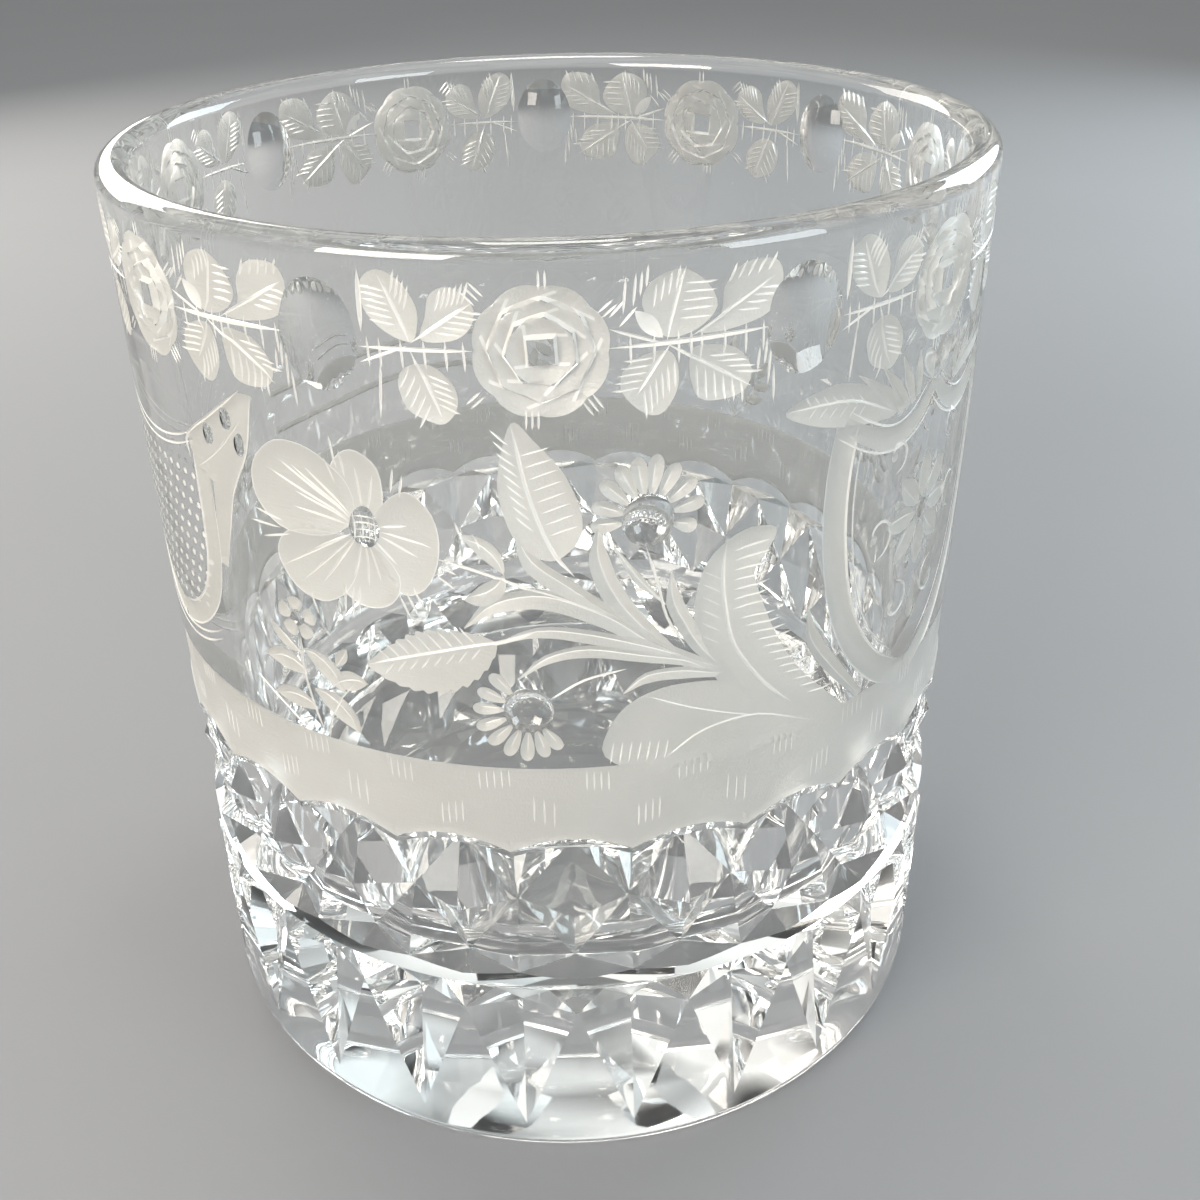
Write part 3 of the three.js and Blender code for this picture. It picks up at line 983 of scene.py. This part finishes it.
def diamond():
    """One pitch of the belt: a diamond with half of its four neighbours, and the cuts' run-outs."""
    def node(step, height):
        return at(step * FACET_PITCH, height)

    low, middle, high = BELT_LOW, BELT_MIDDLE, BELT_HIGH
    notch = split(np.array([node(-1, low), node(0, NOTCH_LOW), node(1, low)]), COARSE, False)
    arc = [at(a, LENS_MIDDLE) for a in np.linspace(FACET_PITCH, -FACET_PITCH, ARC_STEPS)]
    outline = [node(-1, middle), *notch, node(1, middle), node(1, high), *arc, node(-1, high)]
    creases = [[node(step, height) for step in (-1, 0, 1)] for height in (low, middle, high)]
    creases.append([node(0, height) for height in (NOTCH_LOW, low, middle, high, LENS_MIDDLE)])
    creases.append([node(-1, middle), node(0, high), node(1, middle), node(0, low), node(-1, middle)])
    creases += [[node(step, height) for height in (low, middle, high, LENS_MIDDLE)] for step in (-1, 1)]

    def depth(points, gap):
        p = points[:, 0] / ARC / FACET_PITCH
        q = (points[:, 1] - middle) / (high - middle)
        rise = np.minimum(np.abs((q - p) % 2 - 1), np.abs((q + p) % 2 - 1))
        within = np.abs(q) < 1 + 1e-6
        over = np.where(points[:, 1] > LENS_MIDDLE - 1e-3, lens_depth(points[:, 0] / ARC), 0)
        return np.where(within, BELT_DEPTH * (1 - rise), over)

    return Facet(outline, depth, creases)


def flute():
    """One upright mitre of the foot: it starts as a point above the foot's edge and widens upwards."""
    outline = places((0, FLUTE_END), (FACET_PITCH, RING_LOW), (0, RING_LOW), (-FACET_PITCH, RING_LOW))

    def depth(points, gap):
        up = (points[:, 1] - FLUTE_END) / (RING_LOW - FLUTE_END)
        across = np.abs(points[:, 0]) / ARC / FACET_PITCH
        return FLUTE_DEPTH * np.maximum(0, up - across)

    return Facet(outline, depth, [places((0, FLUTE_END), (0, RING_LOW))])


def round_the_glass(cut, first=0.0):
    """The same cut once for each diamond."""
    return [cut.moved(first + 2 * FACET_PITCH * i) for i in range(DIAMOND_COUNT)]


def base_radius(height):
    """Radius of the turned blank at each height of the outer wall."""
    return np.interp(
        height,
        [RING_LOW, RING_MIDDLE, RING_HIGH],
        [FOOT_RADIUS, WALL_RADIUS - RING_DEPTH, WALL_RADIUS],
    )


def all_cuts():
    """Every cut, the ones on top last."""
    cuts = round_the_glass(band_piece()) + band_strokes() + frieze()
    cuts += back() + stippled_shield() + shield() + bouquet()
    cuts += round_the_glass(scallop()) + round_the_glass(diamond())
    return cuts + round_the_glass(flute(), FACET_PITCH)


# Meshing the drawing ----------------------------------------------------------------------------


def within_seams(cuts):
    """Copies of the cuts a full turn round, so that each one that crosses the seam is on both sides."""
    kept = []
    for cut in cuts:
        for turns in (-2, -1, 0, 1, 2):
            low = cut.outline[:, 0].min() + turns * TURN
            high = cut.outline[:, 0].max() + turns * TURN
            if high > SEAM_LEFT - WELD and low < SEAM_RIGHT + WELD:
                kept.append(cut.moved(360 * turns))
    return kept


class Drawing:
    """The constrained triangulation of all outlines and creases."""

    def __init__(self, cuts):
        self.points = []
        self.edges = []
        self.add_rows()
        for cut in cuts:
            self.add(split(cut.outline, cut.longest, True), True)
            for crease in cut.creases:
                self.add(crease, False)
        self.add_filling(cuts)

    def add(self, line, closed):
        first = len(self.points)
        self.points.extend(map(tuple, line))
        count = len(line)
        self.edges.extend((first + i, first + i + 1) for i in range(count - 1))
        if closed:
            self.edges.append((first + count - 1, first))

    def add_rows(self):
        """The ends of the drawing, the rings of the blank and the two sides of the seam."""
        left = SEAM_ANGLE - 360
        for height in (FOOT_EDGE_RADIUS, RING_MIDDLE, RING_HIGH, RIM_START):
            self.add([at(left + STEP_ANGLE * i, height) for i in range(ROUND_STEPS + 1)], False)
        heights = np.concatenate([[FOOT_EDGE_RADIUS, FLUTE_END], np.linspace(BAND_TOP, RIM_START, 40)])
        for angle in (left, SEAM_ANGLE):
            self.add([at(angle, h) for h in heights], False)

    def add_filling(self, cuts):
        """Loose points: close together in the cuts, further apart on the plain wall."""
        columns = int(round(TURN / FINE / 2)) * 2
        step = TURN / columns
        row_step = step * math.sqrt(0.75)
        rows = int((RIM_START - LENS_MIDDLE) / row_step)
        row, column = np.mgrid[0:rows, 0:columns]
        x = SEAM_LEFT + (column + 0.5 * (row % 2) + 0.25) * step
        y = LENS_MIDDLE + MARGIN + row * row_step
        grid = np.column_stack([x.ravel(), y.ravel()])
        sparse = ((row % 4 == 0) & (column % 4 == 0) | (row % 4 == 2) & (column % 4 == 2)).ravel()
        wanted = sparse & (grid[:, 1] > SCALLOPS_END)
        order = np.argsort(grid[:, 0], kind="stable")
        grid, wanted = grid[order], wanted[order]
        for cut in (c for c in cuts if c.filled):
            wanted[under(cut, grid)] = True
        for cut in (c for c in cuts if c.bare):
            wanted[under(cut, grid)] = False
        tree = KDTree(len(self.points))
        for i, p in enumerate(self.points):
            tree.insert((p[0], p[1], 0), i)
        tree.balance()
        for p in grid[wanted]:
            if tree.find((p[0], p[1], 0))[2] > 0.5 * step and p[1] < RIM_START - MARGIN:
                self.points.append(tuple(p))

    def solve(self):
        """Points and triangles of the drawing between its two ends and the two sides of the seam."""
        result = delaunay_2d_cdt([Vector(p) for p in self.points], self.edges, [], 0, WELD, False)
        points = np.array([tuple(v) for v in result[0]])
        faces = np.array([tuple(f) for f in result[2] if len(f) == 3], int)
        a, b, c = points[faces[:, 0]], points[faces[:, 1]], points[faces[:, 2]]
        turned = (b[:, 0] - a[:, 0]) * (c[:, 1] - a[:, 1]) - (b[:, 1] - a[:, 1]) * (c[:, 0] - a[:, 0])
        faces[turned < 0] = faces[turned < 0][:, ::-1]
        middle = points[faces].mean(axis=1)
        keep = (middle[:, 0] > SEAM_LEFT) & (middle[:, 0] < SEAM_RIGHT)
        keep &= (middle[:, 1] > FOOT_EDGE_RADIUS) & (middle[:, 1] < RIM_START)
        return points, faces[keep]


def near_box(points, low, high):
    """Indices of the points, which are sorted along x, that lie in a box."""
    near = np.arange(*np.searchsorted(points[:, 0], (low[0], high[0])))
    return near[(points[near, 1] >= low[1]) & (points[near, 1] <= high[1])]


def under(cut, points):
    """Indices of the points, which are sorted along x, that lie inside a cut."""
    near = near_box(points, cut.outline.min(axis=0), cut.outline.max(axis=0))
    return near[inside(cut.outline, points[near])] if len(near) else near


def depths(cuts, points):
    """How deep the wall is cut at each point of the drawing."""
    order = np.argsort(points[:, 0], kind="stable")
    ordered = points[order]
    deep = np.zeros(len(points))
    added = np.zeros(len(points))
    for cut in cuts:
        if cut.shared:
            chosen = near_box(ordered, cut.outline.min(axis=0) - WELD, cut.outline.max(axis=0) + WELD)
        else:
            chosen = under(cut, ordered)
            if len(chosen):
                chosen = chosen[edge_gap(cut.outline, ordered[chosen]) > WELD]
        if not len(chosen):
            continue
        depth = cut.depth_at(ordered[chosen])
        if cut.rule == ADDED:
            added[chosen] = np.maximum(added[chosen], depth)
        elif cut.rule == INSTEAD:
            deep[chosen] = depth
            added[chosen] = 0
        else:
            deep[chosen] = np.maximum(deep[chosen], depth)
    total = np.empty(len(points))
    total[order] = deep + added
    return total


def covers(cuts, middles):
    """The number of the topmost cut over each face's middle, or -1 for the plain wall."""
    order = np.argsort(middles[:, 0], kind="stable")
    ordered = middles[order]
    found = np.full(len(middles), PLAIN)
    for number, cut in enumerate(cuts):
        found[under(cut, ordered)] = number
    result = np.empty(len(middles), int)
    result[order] = found
    return result


def weld_seam(points, faces):
    """Joins the drawing's right side to its left."""
    used = np.zeros(len(points), bool)
    used[faces.ravel()] = True
    sides = []
    for x in (SEAM_LEFT, SEAM_RIGHT):
        on_line = np.flatnonzero(used & (np.abs(points[:, 0] - x) < WELD))
        sides.append(on_line[np.argsort(points[on_line, 1])])
    if len(sides[0]) != len(sides[1]):
        raise ValueError(f"the seam has {len(sides[0])} points at the left and {len(sides[1])} at the right")
    target = np.arange(len(points))
    target[sides[1]] = sides[0]
    faces = target[faces]
    used[:] = False
    used[faces.ravel()] = True
    number = np.cumsum(used) - 1
    return points[used], number[faces]


def face_middles(points, faces):
    """Middles of the faces on the drawing. Faces that were welded over the seam are put back first."""
    corners = points[faces].copy()
    x = corners[:, :, 0]
    wide = x.max(axis=1) - x.min(axis=1) > TURN / 2
    x[wide[:, None] & (x < SEAM_RIGHT - TURN / 2)] += TURN
    return corners.mean(axis=1)


class Wall:
    """The outer wall: the meshed drawing, and what each of its faces is like."""

    def __init__(self, cuts):
        self.cuts = cuts
        self.points, self.faces = weld_seam(*Drawing(cuts).solve())
        middles = face_middles(self.points, self.faces)
        self.top = covers(cuts, middles)
        self.finish = self.of_cuts([c.finish for c in cuts], CLEAR)
        self.flat = self.of_cuts([c.flat for c in cuts], False)
        height = middles[:, 1]
        ring = (self.top == PLAIN) & (height > RING_LOW) & (height < RING_HIGH)
        self.group = self.top.copy()
        self.group[ring & (height < RING_MIDDLE)] = RING_UNDER
        self.group[ring & (height > RING_MIDDLE)] = RING_OVER
        self.group[self.of_cuts([isinstance(c, Band) for c in cuts], False)] = IN_BAND
        self.flat |= self.group == RING_UNDER
        self.turned = (self.top == PLAIN) & ~ring

    def of_cuts(self, values, plain_value):
        """For each face, the value of its topmost cut."""
        return np.array(values + [plain_value])[self.top]

    def vertices(self):
        """The drawing's points, cut to their depth and put back round the glass."""
        depth = depths(self.cuts, self.points)
        # Points on the seam's left side also lie in cuts that only touch its right side.
        seam = np.abs(self.points[:, 0] - SEAM_LEFT) < WELD
        depth[seam] = np.maximum(depth[seam], depths(self.cuts, self.points[seam] + (TURN, 0)))
        radius = base_radius(self.points[:, 1]) - depth
        angle = self.points[:, 0] / WALL_RADIUS
        return np.column_stack([radius * np.sin(angle), -radius * np.cos(angle), self.points[:, 1]])

    def loop(self, height):
        """The vertices along the drawing's top or bottom, in order round the glass from the seam."""
        on_line = np.flatnonzero(np.abs(self.points[:, 1] - height) < WELD)
        if len(on_line) != ROUND_STEPS:
            raise ValueError(f"the loop at {height} has {len(on_line)} points")
        angles = self.points[on_line, 0] / ARC - SEAM_ANGLE + 360
        loop = np.empty(ROUND_STEPS, int)
        loop[np.round(angles / STEP_ANGLE).astype(int) % ROUND_STEPS] = on_line
        return loop


# The rest of the body ---------------------------------------------------------------------------


def arc_row(centre_r, centre_z, radius, start, end, steps):
    """Rows of a turned fillet: radius, height and the two parts of the normal."""
    rows = []
    for a in np.radians(np.linspace(start, end, steps + 1)):
        out, up = math.cos(a), math.sin(a)
        rows.append((centre_r + radius * out, centre_z + radius * up, out, up))
    return rows


def inner_profile():
    """Rows from the outer wall's top over the rim and down into the bowl: radius, height, normal."""
    half = RIM_THICKNESS / 2
    rows = arc_row(WALL_RADIUS - half, HEIGHT - half, half, 0, 180, 16)[1:]
    corner_r = INNER_RADIUS_LOW - BOWL_CORNER_RADIUS
    corner_z = BASE_THICKNESS + BOWL_DISH + BOWL_CORNER_RADIUS
    top_r, top_z = rows[-1][:2]
    lean = math.atan2(top_r - INNER_RADIUS_LOW, top_z - corner_z)
    for t in np.linspace(0, 1, 9)[1:-1]:
        radius, height = top_r + (INNER_RADIUS_LOW - top_r) * t, top_z + (corner_z - top_z) * t
        rows.append((radius, height, -math.cos(lean), math.sin(lean)))
    rows += [(r, z, -nr, -nz) for r, z, nr, nz in arc_row(corner_r, corner_z, BOWL_CORNER_RADIUS, 0, -90, 14)]
    for t in np.linspace(1, 0, 9)[1:-1]:
        slope = 2 * BOWL_DISH * t / corner_r
        size = math.hypot(1, slope)
        rows.append((corner_r * t, BASE_THICKNESS + BOWL_DISH * t**2, -slope / size, 1 / size))
    return rows


def under_profile():
    """Rows from the middle of the underside out to the outer wall's foot."""
    rows = []
    for t in np.linspace(0, 1, 9)[1:]:
        slope = 2 * UNDERSIDE_DISH * t / REST_RING_INNER_RADIUS
        size = math.hypot(1, slope)
        rows.append((REST_RING_INNER_RADIUS * t, UNDERSIDE_DISH * (1 - t**2), -slope / size, -1 / size))
    return rows + arc_row(FOOT_RADIUS - FOOT_EDGE_RADIUS, FOOT_EDGE_RADIUS, FOOT_EDGE_RADIUS, -90, 0, 10)[:-1]


def ring_points(row):
    radius, height = row[:2]
    angles = np.radians(SEAM_ANGLE + STEP_ANGLE * np.arange(ROUND_STEPS))
    return np.column_stack([radius * np.sin(angles), -radius * np.cos(angles), np.full(ROUND_STEPS, height)])


def ring_numbers(rows, first):
    """Vertex numbers of a ring for each row."""
    return list(first + np.arange(len(rows) * ROUND_STEPS).reshape(-1, ROUND_STEPS))


def strip(lower, upper):
    """Quads between two rings, facing out when the second lies further up the outside."""
    return np.column_stack([lower, np.roll(lower, -1), np.roll(upper, -1), upper])


def fan(ring, centre):
    """Triangles from a ring to the point in its middle."""
    return np.column_stack([ring, np.roll(ring, -1), np.full(ROUND_STEPS, centre)])


def build_glass(materials):
    wall = Wall(within_seams(all_cuts()))
    vertices = wall.vertices()
    rows_up, rows_down = inner_profile(), under_profile()
    rings_up = ring_numbers(rows_up, len(vertices))
    rings_down = ring_numbers(rows_down, rings_up[-1][-1] + 1)
    centre_up = rings_down[-1][-1] + 1
    centres = [(0, 0, BASE_THICKNESS), (0, 0, UNDERSIDE_DISH)]
    vertices = np.vstack([vertices, *map(ring_points, rows_up + rows_down), centres]) * MM
    outwards = (1.0, 0.0)
    quads, quad_normals = [], []
    for rings, normals in (
        ([wall.loop(RIM_START), *rings_up], [outwards, *(row[2:] for row in rows_up)]),
        ([*rings_down, wall.loop(FOOT_EDGE_RADIUS)], [*(row[2:] for row in rows_down), outwards]),
    ):
        quads += [strip(*pair) for pair in zip(rings, rings[1:])]
        quad_normals += zip(normals, normals[1:])
    fans = [fan(rings_up[-1], centre_up), fan(rings_down[0], centre_up + 1)[:, [1, 0, 2]]]
    mesh = make_mesh(vertices, wall, quads, fans, materials)
    mark_sharp(mesh, wall)
    mesh.normals_split_custom_set(np.vstack([
        wall_normals(mesh, wall),
        *(strip_normals(*pair) for pair in quad_normals),
        np.tile((0, 0, 1), (3 * ROUND_STEPS, 1)),
        np.tile((0, 0, -1), (3 * ROUND_STEPS, 1)),
    ]))
    mesh.validate()
    glass = bpy.data.objects.new("tumbler_glass", mesh)
    bpy.context.scene.collection.objects.link(glass)
    return glass


def make_mesh(vertices, wall, quads, fans, materials):
    loops = np.concatenate([faces.ravel() for faces in (wall.faces, *quads, *fans)])
    quad_count = sum(map(len, quads))
    sizes = np.repeat([3, 4, 3], [len(wall.faces), quad_count, 2 * ROUND_STEPS])
    others = quad_count + 2 * ROUND_STEPS
    mesh = bpy.data.meshes.new("tumbler_glass")
    mesh.vertices.add(len(vertices))
    mesh.vertices.foreach_set("co", vertices.ravel())
    mesh.loops.add(len(loops))
    mesh.loops.foreach_set("vertex_index", loops)
    mesh.polygons.add(len(sizes))
    mesh.polygons.foreach_set("loop_start", np.cumsum(sizes) - sizes)
    mesh.polygons.foreach_set("loop_total", sizes)
    mesh.polygons.foreach_set("material_index", np.concatenate([wall.finish, np.zeros(others, int)]))
    mesh.polygons.foreach_set("use_smooth", np.concatenate([~wall.flat, np.ones(others, bool)]))
    for material in materials:
        mesh.materials.append(material)
    mesh.update(calc_edges=True)
    return mesh


def mark_sharp(mesh, wall):
    """Edges between different cuts are sharp."""
    edge_of_loop = np.empty(len(mesh.loops), int)
    mesh.loops.foreach_get("edge_index", edge_of_loop)
    group = np.full(len(mesh.loops), PLAIN)
    group[: 3 * len(wall.faces)] = np.repeat(wall.group, 3)
    low = np.full(len(mesh.edges), len(wall.cuts))
    high = np.full(len(mesh.edges), IN_BAND)
    np.minimum.at(low, edge_of_loop, group)
    np.maximum.at(high, edge_of_loop, group)
    mesh.edges.foreach_set("use_edge_sharp", low != high)


def wall_normals(mesh, wall):
    """Exact normals on the turned wall and in the polished hollows, the mesh's own elsewhere."""
    corners = wall.faces.ravel()
    normals = np.empty(len(mesh.loops) * 3, np.float32)
    mesh.corner_normals.foreach_get("vector", normals)
    normals = normals.reshape(-1, 3)[: len(corners)]
    angle = wall.points[corners, 0] / WALL_RADIUS
    radial = np.column_stack([np.sin(angle), -np.cos(angle), np.zeros(len(corners))])
    turned = np.repeat(wall.turned, 3)
    normals[turned] = radial[turned]
    for number, cut in enumerate(wall.cuts):
        chosen = np.flatnonzero(np.repeat(wall.top == number, 3)) if isinstance(cut, Lens) else []
        if len(chosen):
            slope_x, slope_y = lens_slopes(cut, wall.points[corners[chosen]])
            a = angle[chosen]
            normal = radial[chosen] + np.column_stack([slope_x * np.cos(a), slope_x * np.sin(a), slope_y])
            normals[chosen] = normal / np.linalg.norm(normal, axis=1, keepdims=True)
    return normals


def lens_slopes(cut, points):
    """How fast a hollow gets deeper across and up, at points drawn in a little from its edge."""
    middle = cut.outline[:, 0].mean()
    points[:, 0] += TURN * np.round((middle - points[:, 0]) / TURN)
    points -= (points - cut.outline.mean(axis=0)) * 0.02
    tiny = 0.01

    def slope(step):
        ahead, behind = (cut.depth(points - (cut.shift, 0) + sign * np.array(step), None) for sign in (1, -1))
        return (ahead - behind) / (2 * tiny)

    return slope((tiny, 0)), slope((0, tiny))


def strip_normals(lower, upper):
    """Normals at the corners of the quads between two rings."""
    steps = np.arange(ROUND_STEPS)
    a = np.radians(SEAM_ANGLE + STEP_ANGLE * np.column_stack([steps, steps + 1, steps + 1, steps]))
    out, up = np.array([lower, lower, upper, upper]).T
    ring = np.stack([np.sin(a) * out, -np.cos(a) * out, np.broadcast_to(up, a.shape)], axis=2)
    return ring.reshape(-1, 3)


# Materials --------------------------------------------------------------------------------------


class Tree:
    """A node tree, with short ways to add nodes and to set or link their inputs."""

    def __init__(self, owner):
        owner.use_nodes = True
        self.nodes, self.links = owner.node_tree.nodes, owner.node_tree.links

    def feed(self, node, inputs):
        for name, value in inputs.items():
            if isinstance(value, bpy.types.NodeSocket):
                self.links.new(value, node.inputs[name])
            else:
                node.inputs[name].default_value = value

    def add(self, kind, output, inputs):
        node = self.nodes.new("ShaderNode" + kind)
        self.feed(node, inputs)
        return node.outputs[output]

    def noise(self, vector, scale, detail=3.0):
        return self.add("TexNoise", "Fac", {"Vector": vector, "Scale": scale, "Detail": detail})

    def ranged(self, value, low, high, start=0.0, end=1.0):
        limits = {"From Min": start, "From Max": end, "To Min": low, "To Max": high}
        return self.add("MapRange", "Result", {"Value": value, **limits})

    def blend(self, factor, first, second):
        """A colour between two."""
        node = self.nodes.new("ShaderNodeMix")
        node.data_type = "RGBA"
        self.feed(node, {"Factor": factor, "A": (*first, 1), "B": (*second, 1)})
        return node.outputs["Result"]

    def bump(self, height, strength, distance):
        return self.add("Bump", "Normal", {"Height": height, "Strength": strength, "Distance": distance})


def new_material(name):
    """A material with its node tree and the place of each point on the object."""
    material = bpy.data.materials.new(name)
    tree = Tree(material)
    return material, tree, tree.add("TexCoord", "Object", {})


def clear_glass():
    """Polished crystal with faint smears and ripples."""
    material, tree, position = new_material("clear_glass")
    tree.feed(tree.nodes["Principled BSDF"], {
        "Base Color": (0.985, 0.99, 0.985, 1),
        "IOR": GLASS_IOR,
        "Transmission Weight": 1.0,
        "Roughness": tree.ranged(tree.noise(position, 60.0), 0.0, 0.03),
        "Normal": tree.bump(tree.noise(position, 90.0, 1.0), 0.03, 0.0004),
    })
    return material


def matt_glass(name, colour, transmission, rough_low, rough_high, grain):
    """Ground glass: wheel marks and fine grain scatter the light."""
    material, tree, position = new_material(name)
    cloud = tree.noise(position, 140.0, 4.0)
    streak = tree.add("Mapping", "Vector", {"Vector": position, "Scale": (600.0, 600.0, 4200.0)})
    wheel, fine = tree.noise(streak, 1.0, 2.0), tree.noise(position, 5200.0, 2.0)
    tree.feed(tree.nodes["Principled BSDF"], {
        "Base Color": tree.blend(cloud, [c * 0.86 for c in colour], colour),
        "IOR": GLASS_IOR,
        "Transmission Weight": transmission,
        "Roughness": tree.ranged(cloud, rough_low, rough_high),
        "Normal": tree.bump(tree.add("Math", "Value", {0: wheel, 1: fine}), grain, 0.0001),
    })
    return material


def floor_paint():
    """Light grey paint, with a little light of its own in place of what the glass would focus on it."""
    material, tree, position = new_material("floor_paint")
    cloud = tree.noise(position, 9.0, 5.0)
    tree.feed(tree.nodes["Principled BSDF"], {
        "Base Color": tree.blend(cloud, (0.165, 0.168, 0.176), (0.187, 0.190, 0.198)),
        "Roughness": 0.75,
        "Emission Color": (0.95, 0.97, 1.0, 1),
        "Emission Strength": 0.07,
    })
    return material


# Stage ------------------------------------------------------------------------------------------


def make_floor():
    """A pale floor. A hair of air under the foot keeps its underside a mirror, as it is on a table."""
    bpy.ops.mesh.primitive_plane_add(size=FLOOR_SIZE, location=(0, 0, body_low.z - AIR_GAP * MM))
    floor = bpy.context.object
    floor.name = "floor"
    floor.data.materials.append(floor_paint())


def make_world():
    """A pale room: plain round the horizon, with broad soft panels of light above it."""
    world = bpy.data.worlds.new("studio")
    tree = Tree(world)
    direction = tree.add("TexCoord", "Generated", {})
    parts = tree.nodes.new("ShaderNodeSeparateXYZ")
    tree.feed(parts, {"Vector": direction})
    panels = tree.ranged(tree.noise(direction, 2.4, 1.0), 0.03, 1.15, 0.42, 0.58)
    above = tree.ranged(parts.outputs["Z"], 0.0, 1.0, 0.28, 0.5)
    rightwards = tree.ranged(parts.outputs["X"], 0.0, 1.0, -0.6, 0.6)
    tree.feed(tree.nodes["Background"], {
        "Color": tree.blend(rightwards, (1.0, 0.94, 0.86), (0.84, 0.96, 1.0)),
        "Strength": tree.add("Mix", "Result", {"Factor": above, "A": 0.27, "B": panels}),
    })
    bpy.context.scene.world = world


def area_light(name, location, size, power, colour):
    """A soft light that shines on the middle of the glass."""
    data = bpy.data.lights.new(name, "AREA")
    data.shape = "RECTANGLE"
    data.size, data.size_y = size
    data.energy = power
    data.color = colour
    light = bpy.data.objects.new(name, data)
    light.location = location
    light.rotation_euler = (LIGHT_TARGET - Vector(location)).to_track_quat("-Z", "Y").to_euler()
    bpy.context.scene.collection.objects.link(light)


def make_lights():
    area_light("key", (-0.28, -0.34, 0.26), (0.26, 0.20), 2.6, (1.0, 0.93, 0.84))
    area_light("fill", (0.38, -0.30, 0.20), (0.22, 0.22), 1.2, (0.90, 0.97, 1.0))
    area_light("back_left", (-0.34, 0.42, 0.26), (0.40, 0.26), 2.3, (1.0, 0.94, 0.86))
    area_light("back_right", (0.42, 0.36, 0.24), (0.30, 0.26), 2.1, (0.82, 0.94, 1.0))
    area_light("top", (0.0, 0.10, 0.60), (0.16, 0.16), 1.0, (1.0, 0.96, 0.90))
    bpy.context.scene.view_settings.view_transform = "Standard"


def let_light_through():
    """Light crosses the thick base many times before it leaves again."""
    paths = bpy.context.scene.cycles
    paths.max_bounces = 28
    paths.glossy_bounces = 18
    paths.transmission_bounces = 28


def make_camera():
    """Close to the glass and above it, as the real one was seen."""
    data = bpy.data.cameras.new("camera")
    data.sensor_width = 36.0
    data.lens = 40.63
    data.shift_x = 0.0176
    data.clip_start = 0.005
    camera = bpy.data.objects.new("camera", data)
    yaw, pitch, roll = 0.0127, math.radians(30.45), -0.0255
    forward = Vector((math.sin(yaw) * math.cos(pitch), math.cos(yaw) * math.cos(pitch), -math.sin(pitch)))
    right = Vector((math.cos(yaw), -math.sin(yaw), 0))
    up = right.cross(forward)
    turned_right = math.cos(roll) * right + math.sin(roll) * up
    turned_up = -math.sin(roll) * right + math.cos(roll) * up
    axes = Matrix((turned_right, turned_up, -forward)).transposed()
    camera.matrix_world = Matrix.Translation(CAMERA_PLACE) @ axes.to_4x4()
    bpy.context.scene.collection.objects.link(camera)
    bpy.context.scene.camera = camera


materials = [
    clear_glass(),
    matt_glass("matt_glass", (0.80, 0.79, 0.755), 0.6, 0.38, 0.6, 0.35),
    # The third material is ground smoother than the matt one, and its whiter colour is a painted highlight.
    matt_glass("smooth_cut_painted_bright", (1.0, 0.99, 0.96), 0.45, 0.25, 0.4, 0.15),
]
glass = build_glass(materials)
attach(glass, "root")
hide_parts("tumbler_body")
make_floor()
make_world()
make_lights()
let_light_through()
make_camera()
